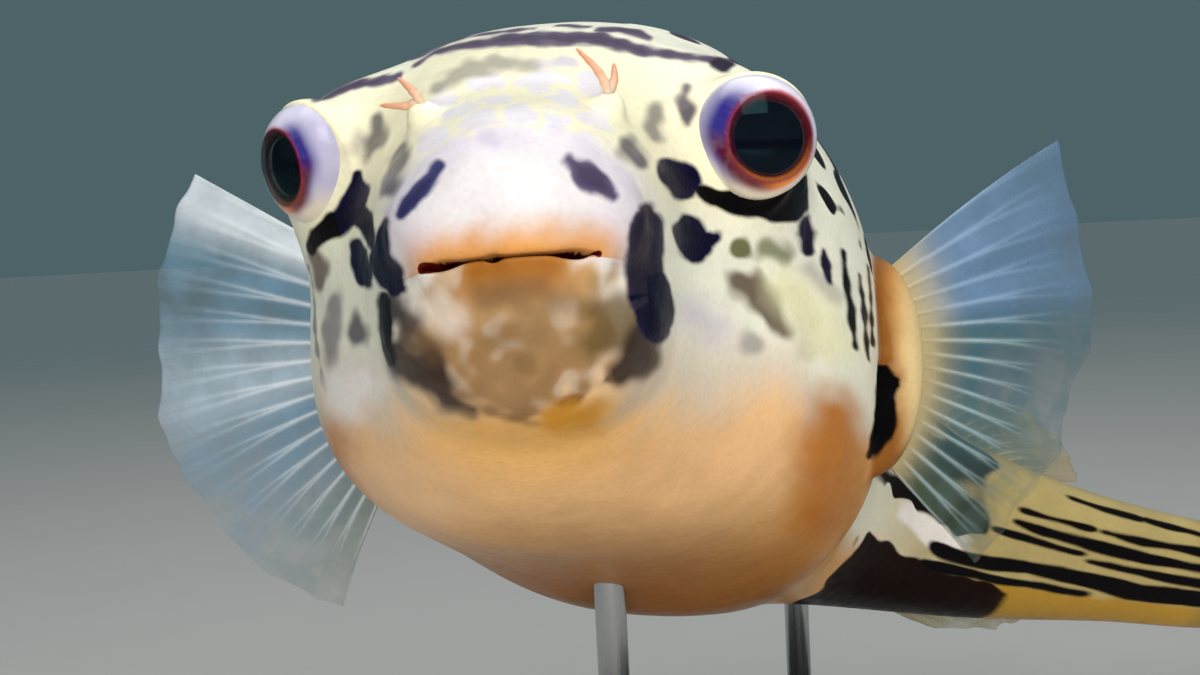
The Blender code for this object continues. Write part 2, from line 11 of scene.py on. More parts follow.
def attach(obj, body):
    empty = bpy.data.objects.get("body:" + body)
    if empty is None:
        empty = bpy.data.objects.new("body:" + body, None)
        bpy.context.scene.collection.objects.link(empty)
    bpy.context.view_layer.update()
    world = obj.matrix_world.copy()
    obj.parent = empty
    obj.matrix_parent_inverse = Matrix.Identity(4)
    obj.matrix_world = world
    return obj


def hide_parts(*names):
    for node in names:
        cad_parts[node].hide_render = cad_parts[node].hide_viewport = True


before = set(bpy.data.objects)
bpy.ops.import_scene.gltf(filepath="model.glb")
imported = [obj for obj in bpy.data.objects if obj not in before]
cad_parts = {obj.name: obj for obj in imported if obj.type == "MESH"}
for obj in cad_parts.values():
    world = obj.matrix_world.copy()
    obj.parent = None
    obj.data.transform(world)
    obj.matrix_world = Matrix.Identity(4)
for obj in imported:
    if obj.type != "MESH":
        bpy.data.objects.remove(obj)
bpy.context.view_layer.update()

fishShape = {
    "standardLength": 0.400,      # snout to the root of the tail fin
    "snoutAt": (-0.035, -0.145, 0.168),
    "sweepCentre": 0.085,         # the head is swept round this station
    "backPower": 2.55,            # how square the upper half of a section is
    "bellyPower": 2.3,
    "snoutCap": 0.006,
    "headReach": 0.13,            # how far back the blends of the head's masses reach
    "detail": 1.0,                # 1 is the finished skin, less is quicker to look at
    # station, half width, height of the back, depth of the belly
    "sections": [
        (0.006, 0.0120, 0.0100, 0.0080), (0.022, 0.0200, 0.0240, 0.0205),
        (0.045, 0.0305, 0.0420, 0.0340), (0.058, 0.0380, 0.0500, 0.0390),
        (0.075, 0.0475, 0.0575, 0.0440), (0.100, 0.0560, 0.0640, 0.0485),
        (0.130, 0.0595, 0.0650, 0.0535), (0.165, 0.0560, 0.0590, 0.0575),
        (0.200, 0.0465, 0.0500, 0.0520), (0.240, 0.0350, 0.0400, 0.0400),
        (0.280, 0.0265, 0.0320, 0.0305), (0.320, 0.0195, 0.0255, 0.0235),
        (0.360, 0.0140, 0.0205, 0.0185), (0.400, 0.0095, 0.0175, 0.0165),
    ],
    # rounded masses joined to the body: centre, radii, width of the blend
    "masses": {
        "muzzle": ((0.0, 0.028, 0.010), (0.0200, 0.0260, 0.0180), 0.012),
        "chin": ((0.0, 0.0265, -0.0085), (0.0215, 0.0205, 0.0150), 0.005),
        "upperLip": ((0.0, 0.0115, 0.0070), (0.0190, 0.0115, 0.0085), 0.005),
        "lowerLip": ((0.0, 0.0150, -0.0055), (0.0165, 0.0105, 0.0055), 0.004),
        "orbit": ((0.0345, 0.072, 0.0285), (0.0150, 0.0190, 0.0165), 0.012),
        "finBase": ((0.0565, 0.142, -0.0030), (0.0115, 0.0085, 0.0250), 0.0025),
        "nostril": ((0.0155, 0.0315, 0.0300), (0.0026, 0.0030, 0.0026), 0.003),
    },
}

eyeShape = {
    "radius": 0.0113, "halfDepth": 0.0078,
    "left": {"sign": 1, "centre": (0.0410, 0.0545, 0.0285), "gaze": (6.0, 3.0), "iris": 0.0076,
             "pupil": 0.0066, "irisShift": (0.0017, -0.0006)},
    "right": {"sign": -1, "centre": (0.0405, 0.0570, 0.0285), "gaze": (48.0, -9.0), "iris": 0.0068,
              "pupil": 0.0054, "irisShift": (-0.0004, 0.0003)},
    "lidOverlap": 0.0005,         # how far the skin stands off the globe
    "coreDepth": 0.0006,          # how far below the globe's surface the flesh goes on
    "coreFront": 0.0022,          # and how far forward along the gaze, short of the iris
    "lidLevel": -0.0016,          # where the skin ends, along the gaze
    "lidRise": 0.0028,            # the upper lid reaches this much further over the globe
    "around": 0.024,              # the globe shapes the skin this far out
    "lidBlend": 0.0008, "orbitBlend": 0.005, "coreBlend": 0.0004,
}


def smooth(start, end, value):
    t = np.clip((value - start) / (end - start), 0.0, 1.0)
    return t * t * (3.0 - 2.0 * t)


# The pose: the spine's heading in degrees, and the level of the widest part in metres. Each starts at
# a value and is bent by (amount, from, to).
spineShape = {
    "turn": (0.0, [(18.0, 0.03, 0.13), (56.0, 0.15, 0.31)]),
    "fall": (9.0, [(17.0, 0.08, 0.20), (-12.0, 0.25, 0.36), (-9.0, 0.37, 0.45)]),
    "widest": (0.0, [(-0.010, 0.05, 0.11), (0.010, 0.17, 0.29)]),
}


def alongSpine(name, y):
    start, bends = spineShape[name]
    total = start
    for amount, first, last in bends:
        total = total + amount * smooth(first, last, y)
    return total


def turnAt(y):
    return np.radians(alongSpine("turn", y))


def fallAt(y):
    return np.radians(alongSpine("fall", y))


def monotoneCurve(at, val, y):
    # A smooth curve through the points that never overshoots them.
    slope = np.diff(val) / np.diff(at)
    tangent = np.concatenate([slope[:1], (slope[:-1] + slope[1:]) / 2, slope[-1:]])
    for k, rise in enumerate(slope):
        if abs(rise) < 1e-9:
            tangent[k] = tangent[k + 1] = 0.0
            continue
        steepness = math.hypot(tangent[k] / rise, tangent[k + 1] / rise)
        if steepness > 3.0:
            tangent[k] *= 3.0 / steepness
            tangent[k + 1] *= 3.0 / steepness
    y = np.clip(y, at[0], at[-1])
    k = np.clip(np.searchsorted(at, y, side="right") - 1, 0, len(at) - 2)
    step = at[k + 1] - at[k]
    t = (y - at[k]) / step
    start = (2 * t**3 - 3 * t**2 + 1) * val[k] + (t**3 - 2 * t**2 + t) * step * tangent[k]
    return start + (3 * t**2 - 2 * t**3) * val[k + 1] + (t**3 - t**2) * step * tangent[k + 1]


stations, halfWidths, backs, bellies = (np.array(c) for c in zip(*fishShape["sections"]))
fineStations = np.linspace(0.0, 0.42, 4201)
fineWidth, fineBack, fineBelly = (monotoneCurve(stations, c, fineStations)
                                  for c in (halfWidths, backs, bellies))


def sizeAt(y, table):
    return np.interp(y, fineStations, table)


def torso(p):
    # Distance-like field of the bare body, in metres: negative inside it.
    y = p[:, 1]
    level = alongSpine("widest", y)
    width = sizeAt(y, fineWidth)
    z = p[:, 2] - level
    above = z > 0
    height = np.where(above, sizeAt(y, fineBack) - level, sizeAt(y, fineBelly) + level)
    power = np.where(above, fishShape["backPower"], fishShape["bellyPower"])
    section = ((np.abs(p[:, 0]) / width) ** power + (np.abs(z) / height) ** power) ** (1.0 / power)
    ahead = np.maximum(stations[0] - y, 0.0) / fishShape["snoutCap"]
    return (np.hypot(section, ahead) - 1.0) * np.minimum(width, height)


def ellipsoid(p, centre, radii):
    # Distance-like field of an ellipsoid: negative inside it.
    q = (p - np.array(centre)) / np.array(radii)
    length = np.sqrt((q * q).sum(axis=1))
    q /= np.array(radii)
    return length * (length - 1.0) / (np.sqrt((q * q).sum(axis=1)) + 1e-9)


def softUnion(a, b, width):
    h = np.clip(0.5 + 0.5 * (b - a) / width, 0.0, 1.0)
    return b * (1.0 - h) + a * h - width * h * (1.0 - h)


def softCut(a, b, width):
    return -softUnion(-a, b, width)


# The spine, once: where each station's centre goes.
spineAlong = np.linspace(-0.05, 0.55, 1201)


def spineHeading(y):
    # Which way the spine runs at each station, towards the tail.
    turn, fall = turnAt(y), fallAt(y)
    return np.column_stack([np.sin(turn) * np.cos(fall), np.cos(turn) * np.cos(fall), -np.sin(fall)])


def makeSpine():
    heading = spineHeading(spineAlong)
    step = spineAlong[1] - spineAlong[0]
    spine = np.vstack([np.zeros(3), np.cumsum((heading[1:] + heading[:-1]) / 2 * step, axis=0)])
    return spine + np.array(fishShape["snoutAt"]) - spine[np.searchsorted(spineAlong, 0.0)]


spine = makeSpine()


def spineFrame(y):
    centre = np.column_stack([np.interp(y, spineAlong, spine[:, k]) for k in range(3)])
    back = spineHeading(y)
    turn = turnAt(y)
    left = np.column_stack([np.cos(turn), -np.sin(turn), np.zeros(len(y))])
    return centre, left, back, np.cross(left, back)


def bendSpine(points, station=None):
    # Carries straight points onto the turning fish, or rigidly with one station of it.
    points = np.asarray(points, float).reshape(-1, 3)
    y = points[:, 1] if station is None else np.full(len(points), station)
    centre, left, back, up = spineFrame(y)
    return centre + left * points[:, :1] + up * points[:, 2:3] + back * (points[:, 1] - y)[:, None]


def eyeFrame(side):
    # The globe's centre in the world, and its axes: the last one is the gaze.
    eye = eyeShape[side]
    outward, upward = np.radians(eye["gaze"])
    centre = bendSpine(np.array(eye["centre"]) * (eye["sign"], 1, 1))[0]
    gaze = np.array([eye["sign"] * math.sin(outward) * math.cos(upward),
                     -math.cos(outward) * math.cos(upward), math.sin(upward)])
    across = np.cross([0.0, 0.0, 1.0], gaze)
    across /= np.linalg.norm(across)
    return centre, np.column_stack([across, np.cross(gaze, across), gaze])


def nearBox(p, centre, reach):
    return np.flatnonzero((np.abs(p - np.array(centre)) < reach).all(axis=1))


mouthShape = {
    "middle": -0.0006,            # the mouth sits a little to the fish's right
    "halfWidth": 0.0128,
    "level": 0.0013,              # height of the closed lips in the middle
    "cornerDrop": 0.0002,
    "tilt": 0.00042,              # the line rises towards the fish's left
    "gape": 0.00020,              # half of the gap where the lips touch
    "cornerGape": 0.00052,        # half of the gap just inside the corners
    "dent": 0.0004,               # the lips part a little beside the middle
    "front": 0.004,
    "depth": 0.0060,
    "edge": 0.0013,               # rounding of the lips' edges
    "around": (0.02, 0.03, 0.01),  # the slit is cut only this near to the middle of the lips
}


def mouthLine(x):
    # Height of the line where the lips meet.
    out = (x - mouthShape["middle"]) / mouthShape["halfWidth"]
    return mouthShape["level"] - mouthShape["cornerDrop"] * np.abs(out) ** 2.5 + mouthShape["tilt"] * out


def mouthSlit(p):
    out = (p[:, 0] - mouthShape["middle"]) / mouthShape["halfWidth"]
    held = mouthShape["middle"] + np.clip(out, -1, 1) * mouthShape["halfWidth"]
    beside = np.maximum(np.abs(out) - 1, 0.0) * mouthShape["halfWidth"]
    gape = mouthShape["gape"] + mouthShape["cornerGape"] * np.exp(-((np.abs(out) - 0.74) / 0.2) ** 2)
    gape = gape * (1 - 0.8 * smooth(0.82, 1.0, np.abs(out)))
    gape = gape + mouthShape["dent"] * np.exp(-((out + 0.16) / 0.09) ** 2)
    apart = np.abs(p[:, 2] - mouthLine(held) + 0.3 * gape)
    behind = np.maximum(p[:, 1] - mouthShape["front"] - mouthShape["depth"], 0.0)
    return np.sqrt(beside**2 + apart**2 + behind**2) - gape


gillShape = {"centre": (0.0622, 0.1325, -0.0125), "radii": (0.0046, 0.0036, 0.0098), "edge": 0.0012,
             "around": 0.02}


def skinField(p):
    q = np.column_stack([np.abs(p[:, 0]), p[:, 1], p[:, 2]])
    distance = torso(q)
    for name, (centre, radii, width) in fishShape["masses"].items():
        if name in ("finBase", "nostril"):
            near = nearBox(q, centre, max(radii) + 2 * width)
        else:
            near = np.flatnonzero(q[:, 1] < fishShape["headReach"])
        distance[near] = softUnion(distance[near], ellipsoid(q[near], centre, radii), width)
    gill = nearBox(q, gillShape["centre"], gillShape["around"])
    opening = ellipsoid(q[gill], gillShape["centre"], gillShape["radii"])
    distance[gill] = softCut(distance[gill], opening, gillShape["edge"])
    mouth = np.flatnonzero((np.abs(p) < mouthShape["around"]).all(axis=1))
    distance[mouth] = softCut(distance[mouth], mouthSlit(p[mouth]), mouthShape["edge"])
    for side in ("left", "right"):
        eye = eyeShape[side]
        near = nearBox(p, np.array(eye["centre"]) * (eye["sign"], 1, 1), eyeShape["around"])
        if len(near):
            distance[near] = eyeCup(distance[near], p[near], side)
    return distance


def eyeCup(distance, p, side):
    centre, axes = eyeFrame(side)
    q = (bendSpine(p) - centre) @ axes
    a, c = eyeShape["radius"], eyeShape["halfDepth"]
    lid = eyeShape["lidOverlap"]
    level = eyeShape["lidLevel"] + eyeShape["lidRise"] * q[:, 1] / a
    cup = -softUnion(-ellipsoid(q, (0, 0, 0), (a + lid, a + lid, c + lid)), level - q[:, 2],
                     eyeShape["lidBlend"])
    distance = softUnion(distance, cup, eyeShape["orbitBlend"])
    core = ellipsoid(q, (0, 0, 0), np.array([a, a, c]) - eyeShape["coreDepth"])
    hollowed = softCut(distance, core, eyeShape["coreBlend"])
    return np.minimum(hollowed, np.maximum(core, q[:, 2] - eyeShape["coreFront"]))


skinGrid = {
    "columns": 640,
    "noseRings": 90, "headRings": 185, "bodyRings": 262,
    "noseCone": (0.35, 26),       # degrees off straight ahead, where the rings lie closest
    "reach": 0.125, "marches": 90, "stride": 0.75, "leastStep": 0.00006, "halvings": 12,
    "capLength": 0.0045, "capTurns": [18, 36, 54, 70, 82, 90],
}


def castSkin(origins, rays):
    # Marches each ray in from outside the fish to where it first meets flesh.
    t = np.full(len(rays), skinGrid["reach"])
    outside = t.copy()
    active = np.arange(len(rays))
    for _ in range(skinGrid["marches"]):
        field = skinField(origins[active] + rays[active] * t[active][:, None])
        hit = field < 0
        outside[active[~hit]] = t[active[~hit]]
        t[active[~hit]] -= np.maximum(skinGrid["stride"] * field[~hit], skinGrid["leastStep"])
        active = active[~hit & (t[active] > 0.001)]
        if not len(active):
            break
    inside = t.copy()
    for _ in range(skinGrid["halvings"]):
        middle = (inside + outside) / 2
        within = skinField(origins + rays * middle[:, None]) < 0
        inside = np.where(within, middle, inside)
        outside = np.where(within, outside, middle)
    return origins + rays * inside[:, None]


def makeSkinGrid():
    # Rings of skin points from snout to tail: rays fan forward over the head, then run out sideways.
    detail = fishShape["detail"]
    turn = fullTurn(int(round(skinGrid["columns"] * detail / 8)) * 8)
    start, end = skinGrid["noseCone"]
    polar = np.radians(np.concatenate([np.linspace(start, end, int(skinGrid["noseRings"] * detail)),
                                       np.linspace(end, 90, int(skinGrid["headRings"] * detail))[1:]]))
    # Straight ahead the rings are drawn flat, along the lips.
    flat = 0.15 + 0.85 * smooth(math.radians(6), math.radians(45), polar)
    across, forward = np.sin(polar)[:, None], np.cos(polar)[:, None]
    rays = np.stack([np.sin(turn) * across, -forward + 0 * turn, np.cos(turn) * across * flat[:, None]],
                    axis=2)
    rays /= np.linalg.norm(rays, axis=2)[:, :, None]
    origins = np.tile([0.0, fishShape["sweepCentre"], 0.0], rays.shape[:2] + (1,))
    along = np.linspace(fishShape["sweepCentre"], fishShape["standardLength"],
                        int(skinGrid["bodyRings"] * detail))[1:, None]
    blank = 0 * turn + 0 * along
    rays = np.concatenate([rays, np.stack([np.sin(turn) + blank, blank, np.cos(turn) + blank], axis=2)])
    origins = np.concatenate([origins, np.stack([blank, along + blank, blank], axis=2)])
    hits = castSkin(origins.reshape(-1, 3), rays.reshape(-1, 3)).reshape(rays.shape)
    # The flesh closes over the root of the tail fin with a rounded end.
    last = hits[-1]
    cap = [last * (math.cos(a), 1, math.cos(a) * 0.15 + 0.85) + (0, skinGrid["capLength"] * math.sin(a), 0)
           for a in np.radians(skinGrid["capTurns"])]
    return np.concatenate([hits, np.array(cap)])


def addMesh(name, points, quads, triangles=()):
    mesh = bpy.data.meshes.new(name)
    quads = np.asarray(quads, np.int32).reshape(-1, 4)
    triangles = np.asarray(triangles, np.int32).reshape(-1, 3)
    mesh.vertices.add(len(points))
    mesh.vertices.foreach_set("co", np.asarray(points, np.float32).ravel())
    corners = np.concatenate([quads.ravel(), triangles.ravel()])
    mesh.loops.add(len(corners))
    mesh.loops.foreach_set("vertex_index", corners)
    starts = np.concatenate([np.arange(len(quads)) * 4, len(quads) * 4 + np.arange(len(triangles)) * 3])
    mesh.polygons.add(len(starts))
    mesh.polygons.foreach_set("loop_start", starts.astype(np.int32))
    mesh.update(calc_edges=True)
    mesh.validate()
    mesh.shade_smooth()
    made = bpy.data.objects.new(name, mesh)
    bpy.context.scene.collection.objects.link(made)
    return made


def fullTurn(count):
    return np.linspace(0, 2 * math.pi, count, endpoint=False)


def ringQuads(rings, columns):
    # Faces between rings of points, closed round each ring.
    a = np.arange(rings - 1)[:, None] * columns
    j = np.arange(columns)[None, :]
    k = (j + 1) % columns
    return np.stack([a + j, a + k, a + columns + k, a + columns + j], axis=2).reshape(-1, 4)


def endFans(rings, columns, first):
    # Triangles that close the first and last ring onto the points numbered first and first + 1.
    j = np.arange(columns)
    k = (j + 1) % columns
    last = (rings - 1) * columns
    return np.concatenate([np.stack([np.full(columns, first), k, j], axis=1),
                           np.stack([np.full(columns, first + 1), last + j, last + k], axis=1)])


def storeAttribute(mesh, name, kind, values):
    stored = mesh.attributes.new(name, kind, "POINT")
    field = {"FLOAT": "value", "FLOAT_VECTOR": "vector", "FLOAT_COLOR": "color"}[kind]
    values = np.asarray(values, np.float32)
    if kind == "FLOAT_COLOR":
        values = np.column_stack([values, np.ones(len(values), np.float32)])
    stored.data.foreach_set(field, values.ravel())


def paint(red, green, blue):
    # A colour as it looks on a screen, 0 to 255, turned into the linear values that shaders use.
    return np.array([v / 255 / 12.92 if v <= 10 else ((v / 255 + 0.055) / 1.055) ** 2.4
                     for v in (red, green, blue)])


def waves(p, size, seed, count=40, spread=0.25):
    # Smooth seeded noise about 0 with ripples of one size, about 1 high.
    rng = np.random.default_rng(seed)
    total = np.zeros(len(p))
    for _ in range(count):
        direction = rng.normal(size=3)
        direction *= 2 * math.pi / size * (1 + spread * rng.uniform(-1, 1)) / np.linalg.norm(direction)
        total += np.cos(p @ direction + rng.uniform(0, 2 * math.pi))
    return total / math.sqrt(count / 2)


def mixTone(base, tone, mask):
    return base + (np.asarray(tone) - base) * np.clip(mask, 0, 1)[:, None]


# Ground colours of the skin, and where the belly's colour begins along the fish.
# Some tones are painted shade: the low belly, the low chin, the underside behind the belly and the pads'
# inner side.
# The lower lip's tone is partly its own orange and partly painted shadow under the overhanging upper lip.
skinTones = {
    "cream": paint(253, 250, 230), "forehead": paint(253, 246, 210), "cell": paint(240, 234, 238),
    "muzzle": paint(227, 221, 223), "muzzleTop": paint(224, 215, 228), "lipMargin": paint(222, 155, 82),
    "lowerLip": paint(168, 104, 26), "chin": paint(202, 160, 108), "chinShade": paint(158, 120, 78),
    "chinPale": paint(206, 194, 178),
    "throat": paint(250, 190, 104), "belly": paint(247, 196, 140), "bellyShade": paint(156, 86, 14),
    "gold": paint(222, 146, 32), "haze": paint(228, 210, 188), "finBase": paint(200, 136, 58),
    "finBaseShade": paint(138, 82, 18), "finBaseEdge": paint(222, 196, 142), "tail": paint(184, 164, 106),
    "underTailShade": paint(40, 20, 8), "tailGold": paint(186, 142, 40), "tailEnd": paint(146, 122, 66),
    "mouthInside": paint(120, 26, 10),
    "bellyLine": ([0.0, 30, 60, 100, 150, 200, 250, 300, 350, 400],
                  [-14, -17, -17, -20, -24, -26, -16, -12, -14, -15]),
}

inkAndShadeTones = {"navy": paint(14, 13, 52), "black": paint(14, 9, 10), "violet": paint(108, 94, 116),
            "plum": paint(44, 28, 56), "pitShadow": paint(6, 3, 3), "slate": paint(66, 66, 116),
            "mauve": paint(98, 86, 116), "dusky": paint(58, 50, 70)}

# Lilac cells between pale yellow lines on the forehead: (x, z) of each cell's middle.
foreheadCells = [(-12, 33.5), (-5.5, 35.5), (4, 36.5), (12.5, 35), (-8.5, 28.5), (-2.5, 30), (8.5, 30.5),
                 (-11.5, 23), (-5, 23.5), (1.5, 25), (7, 24.5), (12.5, 25), (-7, 18.5), (-1.5, 19), (5, 19),
                 (10, 18.5)]

# Marks in millimetres, listed one by one: (x, y, z, half width) along each stroke.
inkMarks = [
    ("black", [(-42, 61, 14, 1.0), (-39, 57, 15, 1.6), (-35, 52, 16, 2.2)]),       # under the right eye
    ("navy", [(-34, 51, 16, 2.0), (-31, 47, 18, 2.6), (-29, 46, 21, 1.9), (-30, 47, 24, 0.6)]),
    ("navy", [(-31, 47, 18, 2.2), (-26.5, 37, 14, 1.8), (-25, 29, 10, 1.2), (-24, 25, 7, 0.9)]),
    ("navy", [(-30, 44, 11, 1.2), (-28.5, 41, 8.5, 2.0), (-27, 37, 5, 1.9), (-26, 34, 3, 0.8)]),
    ("navy", [(-19.5, 12, 9, 0.6), (-21, 18, 7, 1.7), (-22, 21, 5, 2.4), (-20, 17, 2, 2.5),
              (-19, 15, 0, 1.7), (-18, 12, -1, 0.8)]),                             # beside the mouth
    ("black", [(-22, 22, -1, 0.7), (-22, 23, -4, 1.4), (-22, 21, -7, 1.5), (-22, 22, -9, 1.3),
               (-21, 23, -11, 0.7)]),
    ("slate", [(-11, 6, 16, 0.6), (-13, 5, 13, 1.2), (-15, 5, 11, 1.3), (-16, 5, 9, 0.6)]),
    ("mauve", [(9, 5, 16, 0.8), (11, 4, 14, 1.6), (13, 4, 12, 1.6), (15, 4.5, 9.8, 0.6)]),
    ("plum", [(-40.5, 52, 36, 1.3), (-41, 53, 35, 0.9)]),
    ("violet", [(-39, 57, 41, 0.8), (-38, 60, 42, 1.0), (-34, 61, 44, 1.0), (-29, 59, 43, 0.9),
                (-24, 58, 45, 0.7)]),
    ("violet", [(-21, 60, 47, 0.5), (-18, 64, 50, 0.6), (-13, 60, 50, 0.8), (-9, 59, 50, 1.0),
                (-4, 58, 50, 1.4), (5, 58, 50, 1.4), (9, 58, 50, 1.3), (13, 61, 50, 1.4), (17, 60, 49, 1.0),
                (22, 61, 47, 0.9), (26, 63, 47, 0.7), (31, 63, 46, 0.6), (34, 65, 46, 0.7)]),
    ("plum", [(35, 64, 45, 1.3), (36.5, 63, 44, 1.3)]),
    ("violet", [(-24, 69, 51, 0.4), (-19, 70, 53, 0.4), (-16, 71, 55, 0.45), (-10, 69, 55, 0.45),
                (-4, 68, 55, 0.45), (0, 68, 55, 0.35)]),
    ("violet", [(4, 72, 56, 0.4), (10, 70, 55, 0.35)]),
    ("violet", [(12, 67, 53, 0.6), (16, 71, 55, 0.8), (19, 73, 55, 0.9), (22, 72, 53, 0.5)]),
    ("navy", [(24.5, 38, 19.5, 2.3), (28, 42, 19, 2.9)]),
    ("black", [(31, 47, 18, 0.8), (33, 50, 17, 1.5), (38, 55, 17, 2.2), (44, 61, 17, 2.8),
               (47, 66, 18, 3.0), (49, 69, 21, 2.2), (50, 74, 24, 1.0)]),          # under the left eye
    ("navy", [(28.5, 40, 9.8, 2.8), (29, 42, 7.8, 2.8)]),                          # the spot on the cheek
    ("navy", [(32, 48, 9.5, 1.2), (33.5, 50, 10, 0.8)]),
    ("plum", [(50, 80, 17.5, 0.6), (50, 81, 14.5, 1.3), (50, 82, 11.5, 0.8)]),
    ("plum", [(53, 91, 12.5, 0.5), (53, 91, 10, 1.1), (53.5, 92, 7, 0.5)]),
    ("black", [(55.5, 105, 14, 0.4), (56, 103, 8, 0.8), (57, 105, 3, 0.9), (57, 107, -5, 0.4)]),
    ("black", [(58, 115, 12, 0.35), (58.5, 116, 6, 0.5), (59, 117, 0, 0.5), (59, 119, -6, 0.3)]),
    ("black", [(58.5, 127, 15, 0.3), (59.5, 125, 8, 0.4), (60, 124, -2, 0.3)]),
    ("black", [(-54, 103, 16, 0.5), (-56, 102, 9, 0.9), (-56, 102, 3, 0.7)]),
    ("black", [(-57, 113, 13, 0.6), (-57.5, 111, 6, 0.9), (-58, 112, 0, 0.5)]),
    ("black", [(-50, 88, 17, 0.4), (-51, 87, 12, 0.7)]),
    ("dusky", [(20.5, 15, 9.5, 1.2), (20, 14, 7, 2.6), (20, 15, 3, 3.0), (19.5, 16, 0, 3.0),
                (20, 17, -4, 2.8), (21, 20, -5.5, 2.3), (21, 20, -8.5, 1.5)]),     # beside the muzzle
    ("navy", [(20.3, 16, 0.5, 2.4), (20.6, 18, -3, 3.4), (21.4, 20, -6, 3.2), (21.2, 20, -8.5, 2.2)]),
]

# Marks alike on both flanks: painted shadow filling the gill opening, and the streaks along the tail.
flankMarks = [
    ("pitShadow", [(61.5, 136, -8, 2.1), (62, 137, -12, 2.4), (61, 136, -17, 2.2), (59.5, 134, -21, 1.7),
             (58.5, 132, -25, 0.8)]),
    ("black", [(11, 338, 18, 0.7), (11, 350, 17.5, 1.1), (10, 362, 16.5, 1.1)]),
    ("black", [(9, 368, 16, 0.9), (9, 376, 15.5, 1.0), (8, 384, 14.5, 0.7), (8, 396, 13.5, 0.7),
               (7, 414, 13, 0.5)]),
    ("black", [(19, 318, 12, 0.5), (16, 336, 11.5, 0.6), (15, 343, 11, 0.7)]),
    ("black", [(14, 350, 10.5, 0.7), (12, 366, 9.5, 1.2), (10, 388, 8.5, 1.2), (9, 400, 8, 0.9),
               (7, 414, 7.5, 0.6)]),
    ("black", [(19, 316, 8.5, 0.8), (17, 335, 7, 1.4), (15, 348, 6, 1.7), (13, 368, 4.5, 1.5),
               (11, 388, 4, 1.2), (9, 400, 3.5, 0.9), (7, 414, 3, 0.6)]),
    ("black", [(20, 308, 5, 0.9), (17, 328, 4, 0.8), (16, 340, 3.5, 0.6)]),
    ("black", [(15, 346, 1, 0.6), (13, 364, 0, 1.1), (11, 390, -1, 1.2), (9, 400, -1.5, 0.9),
               (7, 414, -2, 0.6)]),
    ("black", [(24, 290, -6, 2.0), (21, 309, -5.5, 2.0), (19, 321, -3.5, 1.6), (16, 345, -4.5, 2.3),
               (13, 366, -6, 2.5), (10, 390, -6, 2.5), (9, 402, -7, 1.8), (7, 414, -7.5, 0.8)]),
    ("black", [(24, 286, -11, 1.6), (21, 305, -9.5, 1.3), (18, 325, -8.5, 1.0), (15, 345, -8.5, 1.2)]),
]

